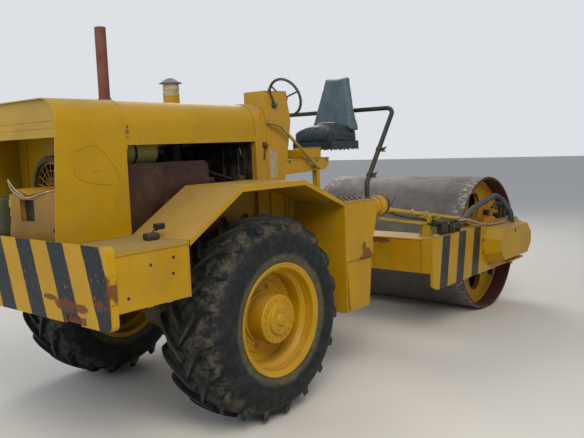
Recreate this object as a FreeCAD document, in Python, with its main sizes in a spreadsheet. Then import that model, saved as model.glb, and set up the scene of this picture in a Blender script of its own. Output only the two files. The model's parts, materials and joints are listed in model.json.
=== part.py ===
import FreeCAD, Part
import Sketcher
import math
import os

# Single-drum road roller with articulated steering, in millimetres.
# +X points from the engine to the drum, +Y to the left, +Z up; the origin is on the ground
# in the middle of the machine. Places are counted from the rear axle and then shifted.

V = FreeCAD.Vector

# Columns: name in the sheet, size, what it is
SIZES = [
    ("wheelbase", 3900, "rear axle to drum axle"),
    ("tail", 1400, "rear axle back to the bumper's face"),
    ("half_width", 1150, "middle to the outside of fenders and bumper"),
    ("steel", 10, "thickness of deck, floors and walls"),
    ("sheet", 8, "thickness of hood and fender sheets"),
    ("fit_gap", 0.1, "radial play of a pin in its bore"),
    ("run_gap", 5, "play between pieces that turn past each other"),
    # wheels
    ("tyre_radius", 750, "rear tyre over its lugs"),
    ("tyre_half", 285, "half the tyre's width at its bulge"),
    ("lug_height", 38, "lugs over the carcass"),
    ("lug_half", 24, "half the width of a lug's foot"),
    ("lug_crest", 16, "half the width of a lug's top"),
    ("lug_sweep", 22, "how far a lug winds round the tyre, degrees"),
    ("track_half", 928, "middle of the machine to the middle of a tyre"),
    ("bead_radius", 385, "where the tyre sits on the rim"),
    ("bead_half", 258, "half the tyre's width at the bead"),
    ("rim_lip", 27, "height of the rim's flange over the bead"),
    ("rim_wall", 14, "thickness of the rim"),
    ("seat_width_of_bead", 70, "bead seat across"),
    ("well_drop", 45, "how much lower the rim's well is"),
    ("disc_set", 3, "tyre's middle inwards to the wheel disc"),
    ("disc_wall", 16, "thickness of the wheel disc"),
    ("hub_radius", 178, "planetary hub"),
    ("hub_reach", 238, "tyre's middle outwards to the hub's face"),
    ("hub_cap", 38, "cap on the hub's face"),
    ("hub_flange", 250, "flange that carries the wheel disc"),
    ("hub_depth", 223, "tyre's middle inwards to the hub's end"),
    ("spindle_radius", 60, "axle end in the hub"),
    ("spindle_set", 128, "tyre's middle inwards to the axle's tip"),
    ("axle_radius", 110, "axle tube"),
    ("banjo_radius", 235, "differential case"),
    # chassis
    ("rail_inner", 260, "middle of the machine to the rail's inner face"),
    ("rail_wall", 100, "width of a chassis rail"),
    ("rail_clear", 40, "axle tube to the rails above it"),
    ("rail_depth", 200, "rails over the axle from top to bottom"),
    ("rail_foot_drop", 580, "rails at the front from top to bottom"),
    ("rail_deepen", 560, "axle to where the rails start to get deeper"),
    ("rail_deep", 900, "axle to where the rails are full depth"),
    ("rail_set", 20, "platform's edge back to the end of the rails"),
    ("cross_wall", 45, "thickness of the chassis cross walls"),
    ("tow_hole", 22, "radius of the hole in the towing lug"),
    ("tow_wall", 40, "thickness of the towing lug"),
    ("tow_half", 60, "half the width of the towing lug"),
    ("tow_reach", 100, "towing lug from the rear cross wall inwards"),
    # tail
    ("deck_height", 1430, "rear deck"),
    ("tyre_clear", 40, "tyre to the tanks and the deck behind it"),
    ("tank_depth", 360, "rear deck down to the underside of the tanks"),
    ("bumper_rise", 35, "bumper above the deck"),
    ("bumper_drop", 450, "bumper below the deck"),
    ("bumper_wall", 12, "thickness of the bumper"),
    ("bumper_return", 60, "depth of the bumper's side flanges"),
    ("bumper_corner", 45, "radius of the bumper's corners"),
    ("notch_side", 285, "bumper's side to the notch in it"),
    ("notch_width", 190, "notch in the bumper's lower edge"),
    ("notch_height", 62, "depth of that notch"),
    # fenders, platform and steps
    ("arch_rear", 300, "axle back to the top of the fender's rear slope"),
    ("arch_front", 367, "axle to the top of the fender's front slope"),
    ("arch_end", 861, "axle to the wall in front of the tyre"),
    ("arch_room", 227, "tyre to the top of the fender"),
    ("fender_lip", 38, "band along the fender's edge"),
    ("platform_drop", 207, "fender's top down to the platform"),
    ("platform_wall", 20, "thickness of the platform"),
    ("platform_reach", 409, "wall before the tyre to the platform's front edge"),
    ("skirt_drop", 920, "platform down to the lower edge of the wall"),
    ("step_width", 450, "fender's outside to the step box's inside"),
    ("ledge_drop", 570, "platform down to the ledge of the step box"),
    ("leg_across", 190, "width of the leg"),
    ("leg_taper", 60, "how much the leg narrows on each side"),
    # hoods
    ("hood_half", 608, "middle of the machine to the hood's side"),
    ("cheek_half", 572, "middle of the machine to the wall beside the engine"),
    ("hood_lean", 65, "how far the rear hood's edge leans forward at the top"),
    ("hood_rise", 905, "deck to the top of the hood"),
    ("hood_round", 170, "radius of the hood's shoulders"),
    ("seam_set", 30, "deck's front edge back to the seam between the hoods"),
    ("hood_step", 6, "how much the front hood sits inside the rear hood"),
    ("hood_tail", 20, "bumper's face to the hood's rear edge"),
    ("lip_height", 42, "folded lip along the front hood's lower edge"),
    ("fascia_set", 20, "hood's rear edge to the panel under the roof"),
    ("fascia_depth", 245, "top of the hood down to that panel's lower edge"),
    ("side_depth", 305, "top of the hood down to the front hood's lower edge"),
    ("hole_play", 2, "play of the pipes in the hood"),
    ("cowl_rear", 430, "axle to the cowl"),
    ("cowl_wall", 122, "thickness of the cowl"),
    # fan
    ("fan_set", 100, "hood seam back to the wall with the fan"),
    ("fan_rise", 315, "deck to the middle of the fan"),
    ("fan_side", 40, "middle of the machine to the middle of the fan"),
    ("fan_radius", 235, "fan shroud"),
    ("fan_hole", 180, "opening of the fan shroud"),
    ("fan_depth", 100, "how far the shroud stands out"),
    ("fan_boss", 34, "boss of the fan guard"),
    ("fan_spoke", 10, "width of a spoke of the fan guard"),
    ("fan_spokes", 12, "number of spokes of the fan guard"),
    # engine
    ("engine_half", 300, "half the engine's width"),
    ("engine_set", 190, "deck's front edge to the engine's end"),
    ("engine_front", 300, "axle to the engine's front"),
    ("engine_height", 770, "engine over its floor"),
    ("cover_set", 10, "deck's front edge to the rear of the side cover"),
    ("cover_side", 450, "middle of the machine to the side cover's face"),
    ("cover_rise", 20, "side cover above the engine"),
    ("cover_depth", 500, "side cover from top to bottom"),
    ("cover_slant", 60, "how much the side cover's front end leans"),
    ("filter_radius", 100, "drum of the air cleaner"),
    ("filter_length", 290, "length of that drum"),
    ("filter_over", 20, "how far that drum stands out behind the engine"),
    ("filter_side", 230, "middle of the machine to that drum's middle"),
    ("exhaust_radius", 41, "exhaust pipe"),
    ("exhaust_bore", 36, "inside of the exhaust pipe"),
    ("exhaust_rise", 565, "mouth of the exhaust above the hood"),
    ("exhaust_set", 60, "engine's end to the exhaust"),
    ("exhaust_depth", 200, "depth of the exhaust's bore"),
    ("intake_place", 100, "axle to the air intake"),
    ("intake_radius", 66, "air intake stub"),
    ("intake_cap", 92, "rain cap of the air intake"),
    ("intake_rise", 232, "top of the air intake above the hood"),
    ("cap_height", 45, "height of the rain cap"),
    # on the deck
    ("box_set", 70, "bumper's face to the deck box"),
    ("box_clear", 20, "deck box to the fan's shroud"),
    ("box_right", 580, "middle of the machine to the box's right side"),
    ("box_left", 50, "middle of the machine to the box's left side"),
    ("box_height", 335, "height of the deck box"),
    ("can_clear", 45, "deck box to the canister"),
    ("can_height", 300, "height of the canister"),
    # driver's place
    ("console_inner", 377, "middle of the machine to the console's inside"),
    ("console_depth", 323, "console from the cowl to its nose"),
    ("console_rise", 915, "platform to the top of the console"),
    ("wheel_reach", 75, "console's nose to the steering wheel's middle"),
    ("wheel_drop", 35, "top of the console down to the wheel's middle"),
    ("wheel_radius", 176, "steering wheel"),
    ("wheel_tube", 11, "radius of the steering wheel's rim"),
    ("wheel_lean", 67, "tilt of the steering wheel from level, degrees"),
    ("wheel_hub", 38, "radius of the steering wheel's hub"),
    ("column_radius", 22, "steering column"),
    ("spoke_radius", 7, "spoke of the steering wheel"),
    ("lever_place", 108, "cowl to the lever's foot"),
    ("lever_drop", 115, "top of the console down to the lever's foot"),
    ("lever_radius", 9, "lever"),
    ("lever_length", 150, "length of the lever"),
    ("lever_boss", 22, "boss of the lever"),
    ("seat_middle", 490, "middle of the machine to the seat's middle"),
    ("seat_set", 738, "cowl to the front of the cushion"),
    ("seat_depth", 450, "cushion from front to back"),
    ("seat_width", 460, "cushion across"),
    ("seat_rise", 455, "platform to the underside of the cushion"),
    ("cushion_height", 140, "cushion"),
    ("cushion_round", 40, "rounding of the cushion"),
    ("back_height", 650, "underside of the cushion to the top of the backrest"),
    ("back_wall", 75, "thickness of the backrest"),
    ("back_set", 60, "rear of the cushion to the rear of the backrest's foot"),
    ("back_lean", 92, "how far the backrest leans back"),
    ("back_top_half", 145, "half the width of the backrest at its top"),
    ("pan_wall", 25, "thickness of the seat pan"),
    ("arm_span", 848, "cowl to the end of the seat's bracket"),
    ("arm_height", 350, "platform to the top of the seat's bracket"),
    ("leg_place", 668, "cowl to the leg of the seat's bracket"),
    ("leg_depth", 40, "leg of the seat's bracket along the machine"),
    ("leg_width", 60, "leg of the seat's bracket across"),
    ("rail_tube", 21, "radius of the guard rail's tube"),
    ("rail_back", 25, "platform's edge back to the guard rail's foot"),
    ("rail_side", 35, "fender's outside to the guard rail's foot"),
    ("rail_upright", 130, "upright piece of the guard rail"),
    ("rail_lean", 570, "how far the guard rail leans forward"),
    ("rail_rise", 775, "platform to the top of the guard rail"),
    ("rail_shoulder", 65, "how much the guard rail narrows to its top"),
    ("rail_bend", 90, "radius of the guard rail's bends"),
    ("handle_tube", 13, "radius of the grab handle"),
    ("handle_out", 45, "hood to the grab handle"),
    ("lamp_side", 72, "fender's outside to a work lamp's middle"),
    ("lamp_drop", 85, "platform down to a work lamp's middle"),
    ("lamp_radius", 90, "rim of a work lamp"),
    ("lamp_depth", 245, "platform's edge to the lamp's glass"),
    ("lamp_rim", 70, "width of the lamp's rim"),
    ("lamp_wall", 8, "thickness of that rim"),
    ("lamp_foot", 35, "radius of the lamp where it is fixed"),
    # steering joint
    ("bay_parts", 188, "parts that the room from the rails to the drum is divided in"),
    ("pin_part", 51, "steering pin, in those parts from the rails"),
    ("swing_part", 74, "rear face of the swing bearing, in those parts"),
    ("beam_part", 100, "rear face of the cross beam, in those parts"),
    ("front_part", 135, "front face of the cross beam, in those parts"),
    ("pin_radius", 50, "steering pin"),
    ("pin_end", 20, "how far the pin stands out of the bracket"),
    ("bush_radius", 130, "yoke around the steering pin"),
    ("swing_rise", 10, "drum axle to the axis of the swing bearing"),
    ("ear_spread", 220, "swing bearing's axis to the bracket's outer faces"),
    ("ear_wall", 45, "thickness of a bracket plate"),
    ("swing_radius", 75, "spindle of the swing bearing"),
    ("swing_shell", 150, "housing of the swing bearing"),
    ("swing_collar", 25, "collar on that housing"),
    ("collar_wall", 40, "width of that collar"),
    # drum frame
    ("beam_drop", 90, "cross beam below the swing bearing's axis"),
    ("beam_rise", 250, "cross beam above the swing bearing's axis"),
    ("beam_wall", 16, "wall of the cross beam"),
    ("arm_gap", 39, "drum's edge to an arm"),
    ("arm_wall", 130, "thickness of an arm"),
    ("arm_set", 15, "cross beam back to an arm's rear end"),
    ("arm_reach", 550, "drum axle to an arm's front end"),
    ("arm_drop", 250, "drum axle down to an arm's lower edge"),
    ("arm_rise", 265, "drum axle up to an arm's upper edge"),
    ("arm_bevel", 90, "cut corner at the arm's front end"),
    ("arm_skin", 30, "thickness of the arm's rear end below the cross beam"),
    ("arm_relief", 230, "length of that thin end"),
    ("case_depth", 200, "motor cover from the arm outwards"),
    ("case_back", 510, "drum axle back to the rear of the cover's face"),
    ("case_ahead", 365, "drum axle to the front of the cover's face"),
    ("case_drop", 135, "drum axle to the lower edge of the cover's face"),
    ("case_rise", 220, "drum axle to the upper edge of the cover's face"),
    ("case_cut", 110, "cut corners of the cover's face"),
    ("case_flare", 60, "how much wider the cover is at the arm"),
    # drum
    ("drum_radius", 770, "drum"),
    ("drum_half", 1031, "half the drum's width"),
    ("drum_wall", 28, "drum shell"),
    ("head_set", 180, "drum's edge inwards to its head"),
    ("head_wall", 25, "thickness of a drum head"),
    ("head_holes", 150, "radius of the holes in a drum head"),
    ("head_circle", 430, "radius of the circle of those holes"),
    ("head_count", 4, "number of those holes"),
    ("boss_radius", 190, "hub on a drum head"),
    ("boss_wall", 20, "how far that hub stands out"),
    ("stub_radius", 80, "axle stub in the drum head"),
    ("stub_end", 20, "how far the stub reaches past the head"),
    ("carrier_radius", 210, "bearing carrier between arm and drum head"),
    ("plate_radius", 310, "mounting plate of the bearing carrier"),
    ("plate_wall", 30, "thickness of that plate"),
    # steering cylinders
    ("cyl_set", 270, "end of the rails back to the pin of a steering cylinder"),
    ("cyl_side", 500, "middle of the machine to that pin"),
    ("cyl_radius", 43, "steering cylinder"),
    ("gland_radius", 49, "gland at the cylinder's end"),
    ("gland_length", 50, "length of the gland"),
    ("rod_radius", 20, "piston rod"),
    ("rod_eye_x", 63, "steering pin to the rod's eye, along the machine"),
    ("rod_eye_y", 273, "steering pin to the rod's eye, across"),
    ("eye_radius", 42, "eye of a cylinder or rod"),
    ("eye_wall", 50, "thickness of an eye"),
    ("lug_wall", 20, "plate that holds a cylinder's pin"),
    ("cyl_pin", 18, "radius of a cylinder's pin"),
    # pipes
    ("pipe_radius", 22, "upper pipe"),
    ("small_pipe", 16, "lower pipe"),
    ("pipe_reach", 300, "cross beam back to the free ends of the pipes"),
    ("post_depth", 60, "post that holds the pipes, along the machine"),
    ("post_width", 85, "that post across"),
    ("post_place", 170, "cross beam's rear face to that post"),
    ("post_rise", 215, "post above the cross beam"),
    ("valve_place", 390, "cross beam's rear face to the valves"),
    ("valve_length", 260, "valve block along the arm"),
    ("valve_width", 90, "valve block across"),
    ("valve_height", 115, "valve block above the arm"),
    ("hose_radius", 32, "hose to the drum's motor"),
    ("hose_end", 230, "drum axle to where the hose goes into the cover"),
]

doc = FreeCAD.newDocument("road_roller")
sheet = doc.addObject("Spreadsheet::Sheet", "dims")
for row, (alias, size, meaning) in enumerate(SIZES, start=1):
    sheet.set("A%d" % row, meaning)
    sheet.set("B%d" % row, str(size))
    sheet.setAlias("B%d" % row, alias)
doc.recompute()


class Size(float):
    """A length that remembers how it is worked out from the cells of the sheet."""

    def __new__(cls, number, text=None):
        size = float.__new__(cls, number)
        size.text = text if text is not None else "%.12g" % number
        return size

    def __add__(self, other):
        return Size(float(self) + float(other), "(%s + %s)" % (self.text, words(other)))

    def __radd__(self, other):
        return Size(float(other) + float(self), "(%s + %s)" % (words(other), self.text))

    def __sub__(self, other):
        return Size(float(self) - float(other), "(%s - %s)" % (self.text, words(other)))

    def __rsub__(self, other):
        return Size(float(other) - float(self), "(%s - %s)" % (words(other), self.text))

    def __mul__(self, other):
        return Size(float(self) * float(other), "(%s * %s)" % (self.text, words(other)))

    def __rmul__(self, other):
        return Size(float(other) * float(self), "(%s * %s)" % (words(other), self.text))

    def __truediv__(self, other):
        return Size(float(self) / float(other), "(%s / %s)" % (self.text, words(other)))

    def __neg__(self):
        return Size(-float(self), "(-1 * %s)" % self.text)


def words(size):
    """The text of a size or plain number, for an expression."""
    return size.text if isinstance(size, Size) else "%.12g" % size


def distance(along, across):
    """The straight distance between two points."""
    return Size(math.hypot(along, across), "sqrt(%s ^ 2 + %s ^ 2)" % (words(along), words(across)))


def slope(along, across):
    """The angle between a line and the machine's length, in degrees."""
    return Size(math.degrees(math.atan2(across, along)), "atan2(%s; %s)" % (words(across), words(along)))


class Cells:
    """The sheet's sizes by name."""


d = Cells()
for alias, _, _ in SIZES:
    setattr(d, alias, Size(sheet.get(alias), "dims.%s" % alias))

# Places that follow from the sizes
SHIFT = (d.tail - d.wheelbase - d.drum_radius) / 2
wheel_height = d.tyre_radius
rail_outer = d.rail_inner + d.rail_wall
rail_low = wheel_height + d.axle_radius + d.rail_clear
rail_top = rail_low + d.rail_depth
rail_foot = rail_top - d.rail_foot_drop
floor_top = rail_top + d.steel
deck_front = d.tyre_radius + d.tyre_clear
hood_seam = deck_front + d.seam_set
deck_under = d.deck_height - d.steel
inside_bumper = d.bumper_wall - d.tail
fender_top = d.tyre_radius * 2 + d.arch_room
platform_height = fender_top - d.platform_drop
platform_under = platform_height - d.platform_wall
platform_end = d.arch_end + d.platform_reach
skirt_low = platform_height - d.skirt_drop
rail_end = platform_end - d.rail_set
hood_edge = d.tail - d.hood_tail
hood_top = d.deck_height + d.hood_rise
engine_top = floor_top + d.engine_height
cowl_front = d.cowl_rear + d.cowl_wall
console_top = platform_height + d.console_rise
seat_low = platform_height + d.seat_rise
bay_part = (d.wheelbase - d.drum_radius - rail_end) / d.bay_parts
pivot = rail_end + bay_part * d.pin_part
drum_axle = d.drum_radius
swing_height = drum_axle + d.swing_rise
ear_low = swing_height - d.ear_spread
ear_top = swing_height + d.ear_spread
swing_face = rail_end + bay_part * d.swing_part
beam_rear = rail_end + bay_part * d.beam_part
beam_front = rail_end + bay_part * d.front_part
beam_low = swing_height - d.beam_drop
beam_top = swing_height + d.beam_rise
arm_inner = d.drum_half + d.arm_gap
arm_outer = arm_inner + d.arm_wall
arm_rear = beam_rear - d.arm_set
arm_end = d.wheelbase + d.arm_reach
arm_low = drum_axle - d.arm_drop
arm_top = drum_axle + d.arm_rise
head_place = d.drum_half - d.head_set
cyl_rear = rail_end - d.cyl_set
own_x = {}


def bind(obj, prop, size):
    """Ties a property of an object to the sheet."""
    obj.setExpression(prop, words(size))


def put(obj, x=0, y=0, z=0, axis=None, angle=0):
    """Places an object, with an optional turn about an axis."""
    if axis is not None:
        obj.Placement = FreeCAD.Placement(V(0, 0, 0), FreeCAD.Rotation(V(*axis), float(angle)))
        bind(obj, "Placement.Rotation.Angle", angle)
    for letter, size in (("x", x), ("y", y), ("z", z)):
        bind(obj, "Placement.Base.%s" % letter, size)
    own_x[obj.Name] = x
    return obj


def box(name, x, y, z):
    """A block between two places along each axis."""
    block = doc.addObject("Part::Box", name)
    for prop, (low, high) in (("Length", x), ("Width", y), ("Height", z)):
        bind(block, prop, high - low)
    return put(block, x[0], y[0], z[0])


def rod(name, axis, radius, start, length):
    """A cylinder along X, Y or Z from a starting point."""
    turned = doc.addObject("Part::Cylinder", name)
    bind(turned, "Radius", radius)
    bind(turned, "Height", length)
    turns = {"X": ((0, 1, 0), 90), "Y": ((1, 0, 0), -90), "Z": (None, 0)}
    return put(turned, *start, *turns[axis])


def outline(sketch, points):
    """A closed run of straight lines, each corner held by its two sizes."""
    count = len(points)
    for i, (u, w) in enumerate(points):
        u2, w2 = points[(i + 1) % count]
        line = Part.LineSegment(V(float(u), float(w), 0), V(float(u2), float(w2), 0))
        sketch.addGeometry(line, False)
    for i, (u, w) in enumerate(points):
        sketch.addConstraint(Sketcher.Constraint("Coincident", i, 2, (i + 1) % count, 1))
        for kind, size in (("DistanceX", u), ("DistanceY", w)):
            index = sketch.addConstraint(Sketcher.Constraint(kind, i, 1, float(size)))
            sketch.setExpression("Constraints[%d]" % index, words(size))


def sketch_on(body, role, suffix="sketch"):
    """An empty sketch on one of a body's own planes."""
    sketch = body.newObject("Sketcher::SketchObject", "%s_%s" % (body.Name, suffix))
    plane = next(f for f in body.Origin.OriginFeatures if f.Role == role)
    sketch.AttachmentSupport = (plane, [""])
    sketch.MapMode = "FlatFace"
    return sketch


def plate(name, role, points, start, thickness):
    """A padded outline: seen along Y, X or Z, from a starting place towards +."""
    body = doc.addObject("PartDesign::Body", name)
    sketch = sketch_on(body, role)
    outline(sketch, points)
    pad = body.newObject("PartDesign::Pad", name + "_pad")
    pad.Profile = sketch
    bind(pad, "Length", thickness)
    pad.Reversed = role == "XZ_Plane"
    spot = {"XZ_Plane": (0, start, 0), "YZ_Plane": (start, 0, 0), "XY_Plane": (0, 0, start)}[role]
    return put(body, *spot)


# Columns: the sketch's plane and its axis of turning
TURN_AXES = {"X": ("XY_Plane", "H_Axis"), "Y": ("YZ_Plane", "H_Axis"), "Z": ("XZ_Plane", "V_Axis")}


def turned(name, points, axis="Y"):
    """A shape turned about X or Y by points (place, radius), or about Z by (radius, place)."""
    role, line = TURN_AXES[axis]
    body = doc.addObject("PartDesign::Body", name)
    sketch = sketch_on(body, role)
    outline(sketch, points)
    spin = body.newObject("PartDesign::Revolution", name + "_turn")
    spin.Profile = sketch
    spin.ReferenceAxis = (sketch, [line])
    spin.Angle = 360
    return body


def faceted(name, rings, closed=False):
    """A solid with flat faces between rings of corners; its ends are flat, or joined if it is closed."""
    pairs = list(zip(rings, rings[1:])) + ([(rings[-1], rings[0])] if closed else [])
    corners = []
    for ring, after in pairs:
        for i in range(len(ring)):
            a, b, c, e = ring[i - 1], ring[i], after[i], after[i - 1]
            level = abs((e - a).dot((b - a).cross(c - a).normalize())) < 1e-6
            corners += [(a, b, c, e)] if level else [(a, b, c), (a, c, e)]
    if not closed:
        corners += [rings[0], rings[-1]]
    faces = [Part.Face(Part.makePolygon(list(loop) + [loop[0]])) for loop in corners]
    solid = Part.makeSolid(Part.makeShell(faces))
    if solid.Volume < 0:
        solid.reverse()
    piece = doc.addObject("Part::Feature", name)
    piece.Shape = solid
    return piece


def fuse(name, *pieces):
    joined = doc.addObject("Part::MultiFuse", name)
    joined.Shapes = list(pieces)
    return joined


def cut(name, base, *tools):
    result = doc.addObject("Part::Cut", name)
    result.Base = base
    result.Tool = tools[0] if len(tools) == 1 else fuse(name + "_tools", *tools)
    return result


def mirrored(name, source):
    """The same piece on the other side of the machine."""
    copy = doc.addObject("Part::Mirroring", name)
    copy.Source = source
    copy.Normal = V(0, 1, 0)
    return copy


def rounded(name, source, radius, wanted):
    """Rounds the edges whose middle and direction pass the test."""
    doc.recompute()
    fillet = doc.addObject("Part::Fillet", name)
    fillet.Base = source
    picked = []
    for number, edge in enumerate(source.Shape.Edges, start=1):
        middle = edge.valueAt((edge.FirstParameter + edge.LastParameter) / 2)
        if wanted(middle, edge.tangentAt(edge.FirstParameter)):
            picked.append((number, float(radius), float(radius)))
    fillet.Edges = picked
    return fillet


def swept(name, radius, points, bend):
    """A round bar along straight runs joined by bends."""
    points = [V(*[float(c) for c in p]) for p in points]
    edges, start = [], points[0]
    for before, corner, after in zip(points, points[1:], points[2:]):
        back, on = (before - corner).normalize(), (after - corner).normalize()
        turn = math.pi - back.getAngle(on)
        reach = min(float(bend) * math.tan(turn / 2), 0.48 * before.distanceToPoint(corner),
                    0.48 * after.distanceToPoint(corner))
        first, last = corner + back * reach, corner + on * reach
        away = (back + on).normalize()
        arc_radius = reach / math.tan(turn / 2)
        middle = corner + away * (math.hypot(arc_radius, reach) - arc_radius)
        edges += [Part.LineSegment(start, first).toShape(), Part.Arc(first, middle, last).toShape()]
        start = last
    edges.append(Part.LineSegment(start, points[-1]).toShape())
    circle = Part.Wire(Part.Circle(points[0], points[1] - points[0], float(radius)).toShape())
    bar = doc.addObject("Part::Feature", name)
    bar.Shape = Part.Wire(edges).makePipeShell([circle], True, False)
    return bar


nodes = {}


def node(label, obj):
    """Makes an object one of the machine's named pieces and moves it to the machine's origin."""
    bind(obj, "Placement.Base.x", SHIFT + own_x.get(obj.Name, 0))
    obj.Label = label
    nodes[label] = obj
    return obj


def pair(label, source):
    """A piece for the right side and its mirror image for the left side."""
    left = mirrored(label + "_mirror", source)
    node(label + "_right", source)
    node(label + "_left", left)
    bind(left, "Placement.Base.x", 0)


def both(label, source):
    """A piece and its mirror image on the other side as one node."""
    node(label, fuse(label + "_both", source, mirrored(label + "_mirror", source)))


# Chassis: two deep rails, cross walls, towing lug and the pins of the steering cylinders

tail_low = d.deck_height - d.bumper_drop
rail_profile = [
    (inside_bumper, tail_low),
    (inside_bumper, deck_under),
    (-deck_front, deck_under),
    (-deck_front, rail_top),
    (rail_end, rail_top),
    (rail_end, rail_foot),
    (d.rail_deep, rail_foot),
    (d.rail_deepen, rail_low),
    (-deck_front, rail_low),
]
rail_right = plate("rail_right", "XZ_Plane", rail_profile, -rail_outer, d.rail_wall)
rail_left = plate("rail_left", "XZ_Plane", rail_profile, d.rail_inner, d.rail_wall)
cross_front = box("cross_front", (rail_end - d.cross_wall, rail_end), (-rail_outer, rail_outer),
                  (rail_foot, rail_top))
cross_rear = box("cross_rear", (inside_bumper, inside_bumper + d.cross_wall), (-rail_outer, rail_outer),
                 (tail_low, deck_under))
tow_start = inside_bumper + d.cross_wall
tow_plate = box("tow_plate", (tow_start - 1, tow_start + d.tow_reach), (-d.tow_half, d.tow_half),
                (tail_low, tail_low + d.tow_wall))
tow_bore = rod("tow_bore", "Z", d.tow_hole, (tow_start + d.tow_reach / 2, 0, tail_low - 1), d.tow_wall + 2)
tow_lug = cut("tow_lug", tow_plate, tow_bore)
lug_gap = d.eye_wall / 2 + d.run_gap
lugs = []
for side in (-1, 1):
    edge = d.cyl_side + d.eye_radius
    across = (rail_outer, edge) if side > 0 else (-edge, -rail_outer)
    for low in (swing_height - lug_gap - d.lug_wall, swing_height + lug_gap):
        lugs.append(box("cylinder_lug", (cyl_rear - d.eye_radius, cyl_rear + d.eye_radius), across,
                        (low, low + d.lug_wall)))
    lugs.append(rod("cylinder_pin", "Z", d.cyl_pin,
                    (cyl_rear, d.cyl_side * side, swing_height - lug_gap - d.lug_wall),
                    lug_gap * 2 + d.lug_wall * 2))
node("rear_chassis", fuse("chassis", rail_right, rail_left, cross_front, cross_rear, tow_lug, *lugs))

node("engine_floor", box("floor_plate", (-deck_front, d.arch_end), (-d.cheek_half, d.cheek_half),
                         (rail_top, floor_top)))

wall_points = [(-d.half_width, skirt_low), (-rail_outer, skirt_low), (-rail_outer, rail_top),
               (rail_outer, rail_top), (rail_outer, skirt_low), (d.half_width, skirt_low),
               (d.half_width, platform_under), (-d.half_width, platform_under)]
node("front_wall", plate("wall", "YZ_Plane", wall_points, d.arch_end, d.steel))

# Steering joint: bracket plates and the upright pin on the rear frame

bracket_points = [(rail_end, -d.rail_inner), (rail_end, d.rail_inner),
                  (pivot, d.bush_radius), (pivot, -d.bush_radius)]
ears = []
for low in (ear_low, ear_top - d.ear_wall):
    ears.append(plate("bracket_ear", "XY_Plane", bracket_points, low, d.ear_wall))
    ears.append(rod("bracket_nose", "Z", d.bush_radius, (pivot, 0, low), d.ear_wall))
ears.append(rod("steering_pin", "Z", d.pin_radius, (pivot, 0, ear_low - d.pin_end),
                ear_top - ear_low + d.pin_end * 2))
node("steering_bracket", fuse("bracket", *ears))

# Rear axle with its differential and spindles

hub_end = d.track_half - d.hub_depth
spindle_tip = d.track_half - d.spindle_set
tube = rod("axle_tube", "Y", d.axle_radius, (0, d.run_gap - hub_end, wheel_height),
           hub_end * 2 - d.run_gap * 2)
spindle = rod("spindle", "Y", d.spindle_radius, (0, -spindle_tip, wheel_height), spindle_tip * 2)
banjo_points = [(-d.banjo_radius, 0), (-d.banjo_radius, d.axle_radius), (-d.axle_radius, d.banjo_radius),
                (d.axle_radius, d.banjo_radius), (d.banjo_radius, d.axle_radius), (d.banjo_radius, 0)]
banjo = put(turned("banjo", banjo_points), 0, 0, wheel_height)
pads = [box("axle_pad", (-d.axle_radius, d.axle_radius), across, (wheel_height, rail_low))
        for across in ((-rail_outer, -d.rail_inner), (d.rail_inner, rail_outer))]
node("rear_axle", fuse("axle", tube, spindle, banjo, *pads))

# Tyres: a carcass with flat facets, two to each lug, and two rows of slanted lugs

LUG_COUNT = 19
crown = d.tyre_radius - d.lug_height
flange = d.bead_radius + d.rim_lip

# Columns: share of half the tyre's width, share of the height from rim flange to crown
CARCASS = [(0.3, 0.985), (0.7, 0.9), (0.95, 0.6), (0.99, 0.3)]

# Columns: share of half the width, share of the sweep, half width of foot and top as shares,
# depth of foot and top below the tread as shares of the lug's height
LUG = [(-0.03, 1.0, 1.0, 1.0, 1.6, 0.0),
       (0.42, 0.4, 1.1, 1.1, 2.0, 0.1),
       (0.78, 0.0, 1.25, 1.3, 3.6, 1.0)]


def round_ring(place, radius, count):
    """Corners spaced evenly round the tyre."""
    turns = [2 * math.pi * n / count for n in range(count)]
    return [V(radius * math.cos(t), place, radius * math.sin(t)) for t in turns]


def lug_ring(across, swept_share, foot, top, foot_drop, top_drop, turn, side):
    """The four corners of a lug's section, turned to its place on the tyre."""
    corners = []
    for drop, half in ((foot_drop, foot * d.lug_half), (top_drop, top * d.lug_crest),
                       (top_drop, -top * d.lug_crest), (foot_drop, -foot * d.lug_half)):
        radius = float(d.tyre_radius - drop * d.lug_height)
        angle = turn + math.radians(swept_share * d.lug_sweep) + float(half) / radius
        corners.append(V(radius * math.cos(angle), -d.track_half + side * across * d.tyre_half,
                         radius * math.sin(angle)))
    return corners


flat = 1.0002 / math.cos(math.pi / (LUG_COUNT * 2))
carcass_half = [(share * d.tyre_half, flange + height * (crown - flange)) for share, height in CARCASS]
carcass_half += [(d.bead_half, flange * flat), (d.bead_half, d.bead_radius * flat)]
carcass_points = carcass_half + [(-w, r) for w, r in reversed(carcass_half)]
tread = [faceted("carcass", [round_ring(w - d.track_half, r, LUG_COUNT * 2) for w, r in carcass_points],
                 closed=True)]
for number in range(LUG_COUNT):
    for side in (-1, 1):
        turn = 2 * math.pi * (number + (0.5 if side > 0 else 0)) / LUG_COUNT
        tread.append(faceted("lug", [lug_ring(*row, turn, side) for row in LUG]))
pair("tyre", put(fuse("tyre", *tread), 0, 0, wheel_height))

# Rims with the wheel disc, and planetary hubs

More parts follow.
